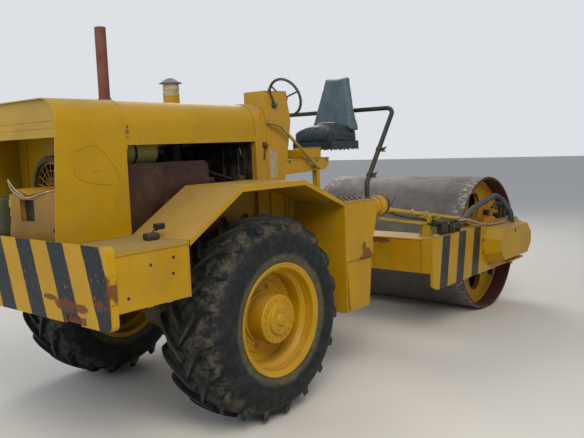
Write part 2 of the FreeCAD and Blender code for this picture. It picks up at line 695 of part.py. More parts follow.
lip_place = d.bead_half + d.rim_wall
well = d.bead_radius - d.well_drop
seat_end = d.bead_half - d.seat_width_of_bead
rim_outside = [(lip_place, flange), (d.bead_half, flange), (d.bead_half, d.bead_radius),
               (seat_end, d.bead_radius - 8), (seat_end - 20, well)]
rim_inside = [(lip_place, flange - d.rim_wall), (lip_place - 8, d.bead_radius - d.rim_wall),
              (seat_end + 9, d.bead_radius - 8 - d.rim_wall), (seat_end - 12, well - d.rim_wall)]
disc_inner = d.track_half - d.disc_set
disc_face = disc_inner + d.disc_wall
disc_hole = d.hub_radius + d.fit_gap
rim_loop = [(d.track_half + w, r) for w, r in rim_outside]
rim_loop += [(d.track_half - w, r) for w, r in reversed(rim_outside)]
rim_loop += [(d.track_half - w, r) for w, r in rim_inside]
rim_loop += [(disc_inner, well - d.rim_wall), (disc_inner, disc_hole), (disc_face, disc_hole),
             (disc_face, well - d.rim_wall)]
rim_loop += [(d.track_half + w, r) for w, r in reversed(rim_inside)]
hub_face = d.track_half + d.hub_reach
hub_neck = d.hub_radius * 0.84
bore_end = spindle_tip + d.run_gap
hub_loop = [
    (hub_end, d.spindle_radius + d.fit_gap),
    (hub_end, hub_neck),
    (disc_inner - 30, hub_neck),
    (disc_inner - 30, d.hub_flange),
    (disc_inner, d.hub_flange),
    (disc_inner, d.hub_radius),
    (hub_face, d.hub_radius - 6),
    (hub_face, d.hub_radius * 0.7),
    (hub_face + d.hub_cap * 0.6, d.hub_radius * 0.68),
    (hub_face + d.hub_cap * 0.6, d.hub_radius * 0.27),
    (hub_face + d.hub_cap, d.hub_radius * 0.23),
    (hub_face + d.hub_cap, 0),
    (bore_end, 0),
    (bore_end, d.spindle_radius + d.fit_gap),
]
for label, loop in (("rim", rim_loop), ("hub", hub_loop)):
    pair(label, put(turned(label, [(-place, radius) for place, radius in loop]), 0, 0, wheel_height))

# Rear deck, the tanks below it and the bumper

tank_side = d.half_width - d.bumper_wall
both("tanks", box("tank", (inside_bumper, -deck_front), (-tank_side, -rail_outer),
                  (d.deck_height - d.tank_depth, deck_under)))
node("rear_deck", box("deck_plate", (inside_bumper, -deck_front), (-tank_side, tank_side),
                      (deck_under, d.deck_height)))

bumper_z = (d.deck_height - d.bumper_drop, d.deck_height + d.bumper_rise)
bumper_blank = box("bumper_blank", (-d.tail, d.bumper_return - d.tail), (-d.half_width, d.half_width),
                   bumper_z)
bumper_round = rounded("bumper_round", bumper_blank, d.bumper_corner, lambda m, t: abs(t.x) > 0.99)
hollow = box("bumper_hollow", (inside_bumper, d.bumper_return - d.tail + 1), (-tank_side, tank_side),
             (bumper_z[0] - 1, bumper_z[1] + 1))
notch = box("bumper_notch", (-d.tail - 1, inside_bumper + 1),
            (d.notch_side - d.half_width, d.notch_side + d.notch_width - d.half_width),
            (bumper_z[0] - 1, bumper_z[0] + d.notch_height))
node("bumper", cut("bumper_plate", bumper_round, hollow, notch))

# Fenders: a folded sheet, a band along its edge and the wall beside the engine

fold = [(-deck_front, d.deck_height), (-d.arch_rear, fender_top), (d.arch_front, fender_top),
        (d.arch_end, platform_height)]
under = [(x, z - d.sheet * 1.2) for x, z in fold]
fall = (fender_top - platform_height) / (d.arch_end - d.arch_front)
fender_sheet = plate("fender_sheet", "XZ_Plane", fold + under[::-1], -d.half_width,
                     d.half_width - d.hood_half)
flat_end = (d.cowl_rear, fender_top - (d.cowl_rear - d.arch_front) * fall)
inner_fold = fold[:3] + [flat_end]
strip = plate("fender_strip", "XZ_Plane", inner_fold + [(x, z - d.sheet * 1.2) for x, z in inner_fold[::-1]],
              -d.hood_half, d.hood_half - d.cheek_half)
band = plate("fender_band", "XZ_Plane", fold + [(x, z - d.fender_lip) for x, z in fold[::-1]],
             -d.half_width, d.sheet)
cheek = plate("fender_cheek", "XZ_Plane",
              inner_fold + [(d.cowl_rear, rail_top), (-deck_front, rail_top)], -d.cheek_half - d.sheet,
              d.sheet)
front_cheek = plate("fender_front_cheek", "XZ_Plane",
                    [flat_end, fold[3], (d.arch_end, rail_top), (d.cowl_rear, rail_top)],
                    -d.hood_half - d.sheet, d.sheet)
shelf = box("cheek_shelf", (d.cowl_rear - d.sheet, d.cowl_rear), (-d.hood_half - d.sheet, -d.cheek_half),
            (rail_top, flat_end[1] - d.sheet))
pair("fender", fuse("fender", fender_sheet, strip, band, cheek, front_cheek, shelf))

# Platform, step boxes and their legs

platform_points = [
    (cowl_front, -d.hood_half), (d.arch_end, -d.hood_half), (d.arch_end, -d.half_width),
    (platform_end, -d.half_width), (platform_end, d.half_width), (d.arch_end, d.half_width),
    (d.arch_end, d.hood_half), (cowl_front, d.hood_half)]
node("platform", plate("platform_plate", "XY_Plane", platform_points, platform_under, d.platform_wall))
step_x = (d.arch_end + d.steel, platform_end)
ledge = platform_height - d.ledge_drop
step_box = box("step_box", step_x, (-d.half_width, d.step_width - d.half_width), (ledge, platform_under))
leg = plate("step_leg", "XZ_Plane",
            [(step_x[0], ledge), (step_x[1], ledge),
             (step_x[1] - d.leg_taper, skirt_low), (step_x[0] + d.leg_taper, skirt_low)],
            -d.half_width, d.leg_across)
both("step_boxes", fuse("steps", step_box, leg))

# Hoods: two arched sheets, the panel under the roof and the wall with the fan


def arch(name, x, half, low, top):
    """A sheet bent over the engine: open below and at both ends."""
    outer = box(name + "_block", x, (-half, half), (low, top))
    over = rounded(name + "_over", outer, d.hood_round,
                   lambda m, t: abs(t.x) > 0.99 and m.z > float(top) - 1)
    inner = box(name + "_void", (x[0] - 1, x[1] + 1), (d.sheet - half, half - d.sheet),
                (low - 1, top - d.sheet))
    room = rounded(name + "_room", inner, d.hood_round - d.sheet,
                   lambda m, t: abs(t.x) > 0.99 and m.z > float(top - d.sheet) - 1)
    return cut(name + "_arch", over, room)


wall_half = d.hood_half - d.sheet
rear_arch = arch("rear_hood", (-hood_edge, -hood_seam), d.hood_half, d.deck_height, hood_top)
fascia_x = d.hood_lean + d.fascia_set - hood_edge
fascia = box("fascia", (fascia_x, fascia_x + d.sheet),
             (-wall_half, wall_half), (hood_top - d.fascia_depth, hood_top - d.hood_round * 0.3))
lean_points = [(-hood_edge - 1, d.deck_height), (-hood_edge, d.deck_height),
               (d.hood_lean - hood_edge, hood_top + 1), (-hood_edge - 1, hood_top + 1)]
lean_cut = plate("hood_lean_cut", "XZ_Plane", lean_points, -d.hood_half - 1, d.hood_half * 2 + 2)
node("rear_hood", cut("rear_hood_leaning", fuse("rear_hood_all", rear_arch, fascia), lean_cut))

front_half = d.hood_half - d.hood_step
side_opening = hood_top - d.side_depth
front_arch = arch("front_hood", (-hood_seam, d.cowl_rear), front_half, side_opening,
                  hood_top - d.hood_step)
exhaust_x = d.engine_set + d.exhaust_set - deck_front
pipe_holes = [rod("roof_hole", "Z", radius + d.hole_play, (place, 0, side_opening), d.side_depth)
              for place, radius in ((exhaust_x, d.exhaust_radius),
                                    (d.intake_place, d.intake_radius))]
lip_out = front_half + d.hood_step / 2
lips = [box("hood_lip", (-hood_seam, d.cowl_rear), across, (side_opening, side_opening + d.lip_height))
        for across in ((-lip_out, -front_half), (front_half, lip_out))]
node("front_hood", fuse("front_hood_all", cut("front_hood_roof", front_arch, *pipe_holes), *lips))

cowl_block = box("cowl_block", (d.cowl_rear, cowl_front), (-d.hood_half, d.hood_half),
                 (floor_top, hood_top))
node("cowl", rounded("cowl_round", cowl_block, d.hood_round,
                     lambda m, t: abs(t.x) > 0.99 and m.z > float(hood_top) - 1))

# Wall with the fan's shroud and its spoked guard

fan_wall = hood_seam + d.fan_set
fan_height = d.deck_height + d.fan_rise
fan_blank = box("fan_blank", (-fan_wall, -fan_wall + d.steel), (-wall_half, wall_half),
                (d.deck_height, hood_top - d.hood_round))
shroud = rod("shroud", "X", d.fan_radius, (-fan_wall - d.fan_depth, d.fan_side, fan_height),
             d.fan_depth + d.steel)
fan_opening = rod("fan_opening", "X", d.fan_hole, (-fan_wall - d.fan_depth - 1, d.fan_side, fan_height),
                  d.fan_depth + d.steel + 2)
guard_x = -fan_wall - d.fan_depth * 0.7
guard = [rod("fan_boss", "X", d.fan_boss, (guard_x - d.fan_spoke, d.fan_side, fan_height),
             d.fan_spoke * 3)]
for number in range(int(d.fan_spokes)):
    spoke = box("fan_spoke", (0, d.fan_spoke), (0, d.fan_spoke), (0, d.fan_hole + d.fan_spoke))
    guard.append(put(spoke, guard_x, d.fan_side, fan_height, (1, 0, 0), 360 * number / d.fan_spokes))
node("fan_wall", fuse("fan_all", cut("fan_panel", fuse("fan_solid", fan_blank, shroud), fan_opening),
                      *guard))

# Engine and what stands on it

engine_rear = d.engine_set - deck_front
node("engine_block", box("engine", (engine_rear, d.engine_front), (-d.engine_half, d.engine_half),
                         (floor_top, engine_top)))
cover_top = engine_top + d.cover_rise
cover_low = cover_top - d.cover_depth
cover_rear = d.cover_set - deck_front
cover_points = [(cover_rear, cover_low), (d.cover_slant, cover_low),
                (d.cover_slant, cover_top - d.cover_depth / 2), (0, cover_top), (cover_rear, cover_top)]
node("engine_cover", plate("side_cover", "XZ_Plane", cover_points, -d.cover_side,
                           d.cover_side - d.engine_half))
node("air_cleaner", rod("filter", "X", d.filter_radius,
                        (engine_rear - d.filter_over, -d.filter_side, engine_top + d.filter_radius), d.filter_length))
pipe = rod("exhaust", "Z", d.exhaust_radius, (exhaust_x, 0, engine_top),
           hood_top + d.exhaust_rise - engine_top)
bore = rod("exhaust_bore", "Z", d.exhaust_bore,
           (exhaust_x, 0, hood_top + d.exhaust_rise - d.exhaust_depth), d.exhaust_depth + 1)
node("exhaust_pipe", cut("exhaust_tube", pipe, bore))

cap_low = hood_top + d.intake_rise - d.cap_height
intake_points = [(0, engine_top), (d.intake_radius, engine_top), (d.intake_radius, cap_low),
                 (d.intake_cap, cap_low), (d.intake_cap, cap_low + d.cap_height * 0.18),
                 (d.intake_cap / 2, cap_low + d.cap_height * 0.82),
                 (d.intake_cap / 4, cap_low + d.cap_height), (0, cap_low + d.cap_height)]
node("air_intake", put(turned("intake", intake_points, "Z"), d.intake_place))

# What stands on the rear deck: a box with a window and a canister

box_rear = d.box_set - d.tail
deck_room = d.tail - hood_seam - d.fan_set - d.fan_depth
box_depth = deck_room - d.box_set - d.box_clear
can_radius = deck_room / 4
can_side = d.box_left + d.can_clear + can_radius
box_middle = (d.box_left - d.box_right) / 2 + d.box_height * 0.2
box_blank = box("box_blank", (box_rear, box_rear + box_depth), (-d.box_right, d.box_left),
                (d.deck_height, d.deck_height + d.box_height))
window = box("box_window", (box_rear - 1, box_rear + box_depth * 0.04),
             (box_middle - d.box_height * 0.16, box_middle + d.box_height * 0.16),
             (d.deck_height + d.box_height * 0.4, d.deck_height + d.box_height * 0.9))
node("deck_box", cut("deck_box_cut", box_blank, window))
node("canister", rod("canister_drum", "Z", can_radius, (box_rear + can_radius, can_side, d.deck_height),
                     d.can_height))

# Console, and its outline again to trim what is fixed to it

# Columns: share of the console's depth, share of its height
CONSOLE = [(0, 0), (0, 0.995), (0.836, 1), (1, 0.743), (0.777, 0.322), (0.709, 0.243), (0.644, 0)]


def console_block(name):
    points = [(cowl_front + u * d.console_depth, platform_height + w * d.console_rise) for u, w in CONSOLE]
    return plate(name, "XZ_Plane", points, -d.hood_half, d.hood_half - d.console_inner)


node("console", console_block("console_pod"))

# Steering wheel, lever, seat bracket and seat

half_side = d.wheel_tube * 0.414
hoop_points = [(d.wheel_radius + u, w) for u, w in (
    (d.wheel_tube, -half_side), (d.wheel_tube, half_side), (half_side, d.wheel_tube),
    (-half_side, d.wheel_tube), (-d.wheel_tube, half_side), (-d.wheel_tube, -half_side),
    (-half_side, -d.wheel_tube), (half_side, -d.wheel_tube))]
spokes = [turned("wheel_hoop", hoop_points, "Z"),
          rod("wheel_hub", "Z", d.wheel_hub, (0, 0, -d.wheel_hub), d.wheel_hub * 1.2)]
for number in range(3):
    spoke = rod("wheel_spoke", "X", d.spoke_radius, (0, 0, 0), d.wheel_radius)
    spoke.Placement = FreeCAD.Placement(V(0, 0, 0), FreeCAD.Rotation(V(0, 0, 1), 90 + 120 * number)
                                        * FreeCAD.Rotation(V(0, 1, 0), 90))
    spokes.append(spoke)
column = d.wheel_reach * 2
spokes.append(rod("wheel_column", "Z", d.column_radius, (0, 0, -column), column - d.wheel_hub / 2))
wheel = put(fuse("wheel", *spokes), cowl_front + d.console_depth + d.wheel_reach, -d.seat_middle,
            console_top - d.wheel_drop, (0, 1, 0), d.wheel_lean)
node("steering_wheel", cut("wheel_seated", wheel, console_block("console_face")))

lever_x, lever_z = cowl_front + d.lever_place, console_top - d.lever_drop
lever_y = -d.hood_half - d.lever_boss * 1.5
lever = put(rod("lever", "Z", d.lever_radius, (0, 0, 0), d.lever_length), lever_x,
            lever_y + d.lever_boss * 0.75, lever_z, (0, 1, 0), -28)
boss = rod("lever_boss", "Y", d.lever_boss, (lever_x, lever_y, lever_z), d.lever_boss * 1.5)
node("throttle_lever", fuse("lever_all", lever, boss))

# Columns: share of the bracket's length, share of its height
SEAT_ARM = [(0.27, 0.634), (0.27, 1), (1, 1), (1, 0.83), (0.93, 0.69)]
arm_points = [(cowl_front + u * d.arm_span, platform_height + w * d.arm_height) for u, w in SEAT_ARM]
seat_arm = plate("seat_arm", "XZ_Plane", arm_points, -d.hood_half, d.hood_half - d.console_inner)
leg_x = cowl_front + d.leg_place
seat_leg = box("seat_leg", (leg_x, leg_x + d.leg_depth), (-d.hood_half, d.leg_width - d.hood_half),
               (platform_height, platform_height + d.arm_height * 0.75))
node("seat_bracket", cut("seat_bracket_seated", fuse("seat_support", seat_arm, seat_leg),
                         console_block("console_side")))
seat_front = cowl_front + d.seat_set
seat_sides = (-d.seat_middle - d.seat_width / 2, -d.seat_middle + d.seat_width / 2)
pan_low = seat_low - d.pan_wall
pedestal = box("pedestal", (seat_front - d.seat_depth * 0.57, seat_front),
               (-d.seat_middle - d.seat_width / 4, -d.seat_middle + d.seat_width / 4),
               (platform_height + d.arm_height, pan_low))
pan = box("pan", (seat_front - d.seat_depth * 0.45, seat_front + d.seat_depth * 0.95),
          (seat_sides[0] + d.pan_wall, seat_sides[1] - d.pan_wall), (pan_low, seat_low - 0.3))
node("seat_pedestal", fuse("pedestal_and_pan", pedestal, pan))
cushion = box("cushion_block", (seat_front, seat_front + d.seat_depth), seat_sides,
              (seat_low, seat_low + d.cushion_height))
node("seat_cushion", rounded("cushion", cushion, d.cushion_round,
                             lambda m, t: m.z > float(seat_low + d.cushion_height / 3)))
back_rear = seat_front + d.seat_depth - d.back_set
back_low = seat_low + d.cushion_height
back_top = seat_low + d.back_height
back_points = [(back_rear, back_low), (back_rear + d.back_lean, back_top),
               (back_rear + d.back_lean - d.back_wall * 0.7, back_top), (back_rear - d.back_wall, back_low)]
back_slab = plate("back_slab", "XZ_Plane", back_points, seat_sides[0], d.seat_width)
shoulder = seat_low + d.back_height * 0.5
taper_points = [(seat_sides[0], back_low), (seat_sides[1], back_low), (seat_sides[1], shoulder),
                (d.back_top_half - d.seat_middle, back_top), (-d.back_top_half - d.seat_middle, back_top),
                (seat_sides[0], shoulder)]
back_shape = plate("back_shape", "YZ_Plane", taper_points, seat_front, d.seat_depth * 2)
back_common = doc.addObject("Part::MultiCommon", "back_common")
back_common.Shapes = [back_slab, back_shape]
node("seat_back", back_common)

# Guard rail behind the seat and grab handle beside the hood

foot_x, foot_y = platform_end - d.rail_back, d.half_width - d.rail_side
rail_half = [(foot_x, foot_y, platform_height), (foot_x, foot_y, platform_height + d.rail_upright),
             (foot_x + d.rail_lean, foot_y - d.rail_shoulder, platform_height + d.rail_rise)]
rail_points = [(x, -y, z) for x, y, z in rail_half] + rail_half[::-1]
node("guard_rail", swept("guard_tube", d.rail_tube, rail_points, d.rail_bend))
handle_y = -d.hood_half - d.handle_out
handle_top, handle_low = platform_height + d.console_rise * 0.714, platform_height + d.arm_height * 0.77
handle_front = cowl_front + d.arm_span * 0.724
handle_points = [(cowl_front + d.rail_back, -d.hood_half, handle_top),
                 (cowl_front + d.rail_back, handle_y, handle_top),
                 (cowl_front + d.console_depth * 0.43, handle_y, handle_top - d.console_rise * 0.03),
                 (handle_front, handle_y, handle_low), (handle_front, -d.hood_half, handle_low)]
node("grab_handle", swept("handle_bar", d.handle_tube, handle_points, d.handle_out))

# Work lamps on the platform's front edge

lamp_end = platform_end + d.lamp_depth
lamp_mouth = d.lamp_radius - d.lamp_wall
lamp = turned("lamp", [(platform_end, 0), (platform_end, d.lamp_foot), (lamp_end - d.lamp_rim, lamp_mouth),
                       (lamp_end - d.lamp_rim, d.lamp_radius), (lamp_end, d.lamp_radius),
                       (lamp_end, lamp_mouth), (lamp_end - d.lamp_wall, lamp_mouth),
                       (lamp_end - d.lamp_wall, 0)], "X")
both("work_lamps", put(lamp, 0, d.lamp_side - d.half_width, platform_height - d.lamp_drop))

# Yoke: bush round the steering pin, ears for the cylinders, spindle of the swing bearing

yoke_low = ear_low + d.ear_wall + d.run_gap
yoke_top = ear_top - d.ear_wall - d.run_gap
bush = rod("yoke_bush", "Z", d.bush_radius, (pivot, 0, yoke_low), yoke_top - yoke_low)
block = box("yoke_block", (pivot, swing_face - d.run_gap), (-d.bush_radius, d.bush_radius),
            (swing_height - d.bush_radius, swing_height + d.bush_radius))
stem = rod("yoke_stem", "X", d.swing_radius, (pivot, 0, swing_height), beam_rear - pivot + d.beam_wall * 2)
ear_z = swing_height - d.eye_wall / 2 - 1 - d.lug_wall * 1.5
eye_x = pivot + d.rod_eye_x
yoke_ear = plate("yoke_ear", "XY_Plane",
                 [(pivot - d.eye_radius, 0), (eye_x - d.eye_radius, -d.rod_eye_y),
                  (eye_x + d.eye_radius, -d.rod_eye_y), (pivot + d.bush_radius, 0),
                  (eye_x + d.eye_radius, d.rod_eye_y), (eye_x - d.eye_radius, d.rod_eye_y)],
                 ear_z, d.lug_wall * 1.5)
tips = [rod("ear_tip", "Z", d.eye_radius, (eye_x, d.rod_eye_y * side, ear_z), d.lug_wall * 1.5)
        for side in (-1, 1)]
yoke_bore = rod("yoke_bore", "Z", d.pin_radius + d.fit_gap, (pivot, 0, ear_low), ear_top - ear_low)
node("yoke", cut("yoke_bored", fuse("yoke_solid", bush, block, stem, yoke_ear, *tips), yoke_bore))

# Steering cylinders: each barrel hangs on a pin at the chassis, its rod's eye lies on the yoke's ear

run_x, run_y = eye_x - cyl_rear, d.cyl_side - d.rod_eye_y
cyl_reach = distance(run_x, run_y)
cyl_slope = slope(run_x, run_y)
cyl_length = cyl_reach * 0.69
body_start = d.eye_radius * 1.5
for label, side in (("right", -1), ("left", 1)):
    eye = rod("barrel_eye", "Z", d.eye_radius, (0, 0, -d.eye_wall / 2), d.eye_wall)
    hole = rod("barrel_hole", "Z", d.cyl_pin + d.fit_gap, (0, 0, -d.eye_wall), d.eye_wall * 2)
    neck = rod("barrel_neck", "X", d.eye_wall / 2 - 1, (d.eye_radius / 2, 0, 0), d.eye_radius * 1.2)
    body = rod("barrel_body", "X", d.cyl_radius, (body_start, 0, 0), cyl_length - body_start)
    gland = rod("barrel_gland", "X", d.gland_radius, (cyl_length - d.gland_length, 0, 0), d.gland_length)
    cavity = rod("barrel_cavity", "X", d.rod_radius + d.fit_gap, (d.eye_radius * 2, 0, 0), cyl_length)
    barrel = cut("barrel", fuse("barrel_solid", eye, neck, body, gland), hole, cavity)
    shaft = rod("rod_shaft", "X", d.rod_radius, (cyl_reach * 0.43, 0, 0),
                cyl_reach * 0.57 - d.eye_radius + d.rod_radius / 2)
    tip = rod("rod_eye", "Z", d.eye_radius, (cyl_reach, 0, -d.eye_wall / 2), d.eye_wall)
    bolt = rod("rod_bolt", "Z", d.cyl_pin, (cyl_reach, 0, 0), d.eye_wall * 0.75)
    for name, piece in (("cylinder_barrel_", barrel), ("cylinder_rod_", fuse("piston", shaft, tip, bolt))):
        put(piece, cyl_rear, d.cyl_side * side, swing_height, (0, 0, 1), cyl_slope * -side)
        node(name + label, piece)

# Drum frame: cross beam with the swing bearing, two arms with the motor covers

beam_outer = box("beam_outer", (beam_rear, beam_front), (-arm_inner, arm_inner),
                 (beam_low, beam_top))
beam_void = box("beam_void", (beam_rear + d.beam_wall * 3, beam_front - d.beam_wall),
                (-arm_inner - 1, arm_inner + 1), (beam_low + d.beam_wall, beam_top - d.beam_wall))
housing = rod("swing_housing", "X", d.swing_shell, (swing_face, 0, swing_height),
              beam_rear - swing_face + d.beam_wall)
collar = rod("swing_collar", "X", d.swing_shell + d.swing_collar, (swing_face, 0, swing_height),
             d.collar_wall)
socket = rod("swing_socket", "X", d.swing_radius + d.fit_gap, (swing_face - 1, 0, swing_height),
             beam_rear + d.beam_wall * 2 - swing_face + d.run_gap + 1)
node("cross_beam", cut("beam_cut", fuse("beam_solid", beam_outer, housing, collar), beam_void, socket))

arm_outline = [(arm_rear, arm_low + d.arm_bevel / 2), (arm_rear, arm_top),
               (arm_end - d.arm_bevel, arm_top), (arm_end, arm_top - d.arm_bevel), (arm_end, arm_low + d.arm_bevel),
               (arm_end - d.arm_bevel, arm_low), (arm_rear + d.arm_bevel, arm_low)]
arm_plate = plate("arm", "XZ_Plane", arm_outline, -arm_outer, d.arm_wall)
relief = box("arm_relief", (arm_rear - 1, arm_rear + d.arm_relief), (d.arm_skin - arm_outer, 1 - arm_inner),
             (arm_low - 1, beam_low))
pair("arm", cut("arm_relieved", arm_plate, relief))


def octagon(x_low, x_high, z_low, z_high, corner):
    """The eight corners of a block with its corners cut."""
    return [(x_low + corner, z_low), (x_high - corner, z_low), (x_high, z_low + corner),
            (x_high, z_high - corner), (x_high - corner, z_high), (x_low + corner, z_high),
            (x_low, z_high - corner), (x_low, z_low + corner)]


case_x = (d.wheelbase - d.case_back, d.wheelbase + d.case_ahead)
case_z = (drum_axle - d.case_drop, drum_axle + d.case_rise)
cover = doc.addObject("PartDesign::Body", "motor_cover")
sections = []
for suffix, place, x, z in (
        ("base", arm_outer, (case_x[0] - d.case_flare * 2, case_x[1] + d.case_flare),
         (case_z[0] - d.case_flare, case_z[1] + d.case_flare / 2)),
        ("face", arm_outer + d.case_depth, case_x, case_z)):
    section = sketch_on(cover, "XZ_Plane", suffix)
    outline(section, octagon(*x, *z, d.case_cut))
    section.AttachmentOffset = FreeCAD.Placement(V(0, 0, float(place)), FreeCAD.Rotation())
    bind(section, "AttachmentOffset.Base.z", place)
    sections.append(section)
loft = cover.newObject("PartDesign::AdditiveLoft", "motor_cover_loft")
loft.Profile = sections[0]
loft.Sections = sections[1:]
loft.Ruled = True
both("motor_covers", put(cover))

carrier_face = head_place + d.boss_wall + d.run_gap
stub_tip = head_place - d.head_wall - d.stub_end
carrier_points = [(arm_inner, 0), (arm_inner, d.plate_radius), (arm_inner - d.plate_wall, d.plate_radius),
                  (arm_inner - d.plate_wall, d.carrier_radius), (carrier_face, d.carrier_radius),
                  (carrier_face, d.stub_radius), (stub_tip, d.stub_radius), (stub_tip, 0)]
both("drum_carriers", put(turned("carrier", [(-place, radius) for place, radius in carrier_points]),
                          d.wheelbase, 0, drum_axle))

# Drum: shell and two heads with their holes

shell_outer = rod("shell_outer", "Y", d.drum_radius, (d.wheelbase, -d.drum_half, drum_axle),
                  d.drum_half * 2)
shell_inner = rod("shell_inner", "Y", d.drum_radius - d.drum_wall,
                  (d.wheelbase, -d.drum_half - 1, drum_axle), d.drum_half * 2 + 2)
node("drum_shell", cut("shell", shell_outer, shell_inner))
head_bore = d.stub_radius + d.fit_gap
head_edge = d.drum_radius - d.drum_wall
head_points = [(head_place - d.head_wall, head_bore), (head_place - d.head_wall, head_edge),
               (head_place, head_edge), (head_place, d.boss_radius),
               (head_place + d.boss_wall, d.boss_radius), (head_place + d.boss_wall, head_bore)]
holes = []
for number in range(int(d.head_count)):
    turn = 2 * math.pi * (number + 0.5) / float(d.head_count)
    holes.append(rod("head_hole", "Y", d.head_holes,
                     (d.head_circle * math.cos(turn), -head_place - 1, d.head_circle * math.sin(turn)),
                     d.head_wall + 2))
drum_head = cut("head_cut", turned("head", [(-place, radius) for place, radius in head_points]), *holes)
both("drum_heads", put(drum_head, d.wheelbase, 0, drum_axle))

# Pipes from the swing bearing to the valves, and the hose to the drum's motor

arm_middle = -(arm_inner + arm_outer) / 2
post_x = beam_rear + d.post_place
valve_x = beam_rear + d.valve_place
valve_end = valve_x + d.valve_length
post = box("rack_post", (post_x, post_x + d.post_depth), (2 - arm_inner, d.post_width - arm_inner),
           (beam_top, beam_top + d.post_rise))
valve_side = d.valve_width / 2
valves = box("valves", (valve_x, valve_end), (arm_middle - valve_side, arm_middle + valve_side),
             (arm_top, arm_top + d.valve_height))
pipe_start = beam_rear - d.pipe_reach
upper = swept("upper_pipe", d.pipe_radius,
              [(pipe_start, d.post_rise * 0.95 - arm_inner, beam_top + d.post_rise * 1.46),
               (valve_end + d.pipe_radius, arm_middle + d.pipe_radius, beam_top + d.post_rise * 0.6)],
              d.rail_bend)
lower = swept("lower_pipe", d.small_pipe,
              [(pipe_start, d.post_rise * 1.37 - arm_inner, beam_top + d.post_rise * 1.03),
               (valve_x + d.small_pipe, arm_middle, arm_top + d.valve_height * 0.65)], d.rail_bend)
node("pipe_rack", fuse("rack", post, valves, upper, lower))

# Columns: share of the way from the valves to the hose's end, and in hose radii the place
# inwards from the middle of the arm and the height over the arm
HOSE = [(0, 0, 2.3), (0.07, 0, 2.3), (0.34, 0.5, 6.2), (0.64, 0.6, 8.0), (0.88, 0.6, 9.1),
        (0.98, -0.8, 7.0), (1, -4.0, 2.7), (1, -4.0, -2.3)]
hose_way = d.wheelbase + d.hose_end - valve_end
hose_points = [(valve_end + u * hose_way, arm_middle + v * d.hose_radius, arm_top + w * d.hose_radius)
               for u, v, w in HOSE]
hose = swept("hose_run", d.hose_radius, hose_points, d.hose_radius * 5)
node("drive_hose", cut("hose_seated", hose, cover))

doc.recompute()
os.makedirs("parts", exist_ok=True)
for obj in doc.Objects:
    if "Invalid" in obj.State or "Error" in obj.State:
        raise RuntimeError("%s is %s" % (obj.Name, obj.State))
for label, obj in nodes.items():
    if obj.Shape.isNull() or not obj.Shape.isValid() or not obj.Shape.Solids:
        raise RuntimeError("%s has no valid solid" % label)
for label, obj in nodes.items():
    obj.Shape.exportStep("parts/%s.step" % label)
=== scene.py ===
import json
import math

import bpy
from bpy.props import BoolProperty, FloatProperty, FloatVectorProperty, IntProperty, PointerProperty
from mathutils import Matrix, Vector


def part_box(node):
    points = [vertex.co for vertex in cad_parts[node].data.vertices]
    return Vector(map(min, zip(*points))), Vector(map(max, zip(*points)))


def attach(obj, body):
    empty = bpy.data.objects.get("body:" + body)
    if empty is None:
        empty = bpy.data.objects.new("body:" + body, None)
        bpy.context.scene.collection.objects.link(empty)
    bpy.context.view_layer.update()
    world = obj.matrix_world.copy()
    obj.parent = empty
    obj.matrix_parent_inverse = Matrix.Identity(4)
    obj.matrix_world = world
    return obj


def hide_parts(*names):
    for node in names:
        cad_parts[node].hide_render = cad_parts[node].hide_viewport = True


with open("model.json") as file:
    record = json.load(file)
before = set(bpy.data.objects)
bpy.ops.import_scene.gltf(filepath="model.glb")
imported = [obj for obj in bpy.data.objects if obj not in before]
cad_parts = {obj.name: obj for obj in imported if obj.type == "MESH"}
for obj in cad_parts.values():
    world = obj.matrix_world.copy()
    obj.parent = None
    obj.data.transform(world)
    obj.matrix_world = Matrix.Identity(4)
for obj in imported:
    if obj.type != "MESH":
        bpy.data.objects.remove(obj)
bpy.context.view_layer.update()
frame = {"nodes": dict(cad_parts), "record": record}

bl_info = {
    "name": "Road Roller",
    "version": (1, 0, 0),
    "blender": (4, 5, 0),
    "location": "3D View > Sidebar > Roller",
    "description": "Dresses a single-drum road roller with its tyres, paint, seat, engine and hoses",
    "category": "Object",
}

BODIES = {node: body for body, nodes in frame["record"]["behaviour"]["bodies"].items() for node in nodes}


def centre(name):
    """The middle of a CAD node."""
    low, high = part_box(name)
    return (low + high) / 2


AXLE = centre("tyre_right")
DRUM = centre("drum_shell")
HOOD_LOW, HOOD_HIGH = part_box("rear_hood")
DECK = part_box("rear_deck")[1].z
PLATFORM_LOW, PLATFORM_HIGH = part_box("platform")
ENGINE_LOW, ENGINE_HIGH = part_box("engine_block")
COWL_LOW, COWL_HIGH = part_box("cowl")

# ---------------------------------------------------------------- modelling by hand


def new(name):
    """Names the object that was just added, and puts its place into its mesh."""
    piece = bpy.context.object
    piece.name = piece.data.name = name
    bpy.ops.object.transform_apply(location=True, rotation=True, scale=True)
    return piece


def leave_edit():
    bpy.ops.object.mode_set(mode="OBJECT")


def choose(*pieces):
    """Selects only these pieces; the last one is the active one."""
    bpy.ops.object.select_all(action="DESELECT")
    for piece in pieces:
        piece.select_set(True)
        bpy.context.view_layer.objects.active = piece
    return pieces[-1]


def pick(piece, test, kind="FACE"):
    """Opens a piece in edit mode with only those faces or edges selected that pass the test."""
    choose(piece)
    bpy.ops.object.mode_set(mode="EDIT")
    bpy.ops.mesh.select_mode(type=kind)
    bpy.ops.mesh.select_all(action="DESELECT")
    leave_edit()
    mesh = piece.data
    if kind == "FACE":
        for face in mesh.polygons:
            face.select = test(face.center, face.normal)
    else:
        for edge in mesh.edges:
            a, b = (mesh.vertices[i].co for i in edge.vertices)
            edge.select = test((a + b) / 2, b - a)
    bpy.ops.object.mode_set(mode="EDIT")


def everything(piece):
    choose(piece)
    bpy.ops.object.mode_set(mode="EDIT")
    bpy.ops.mesh.select_all(action="SELECT")


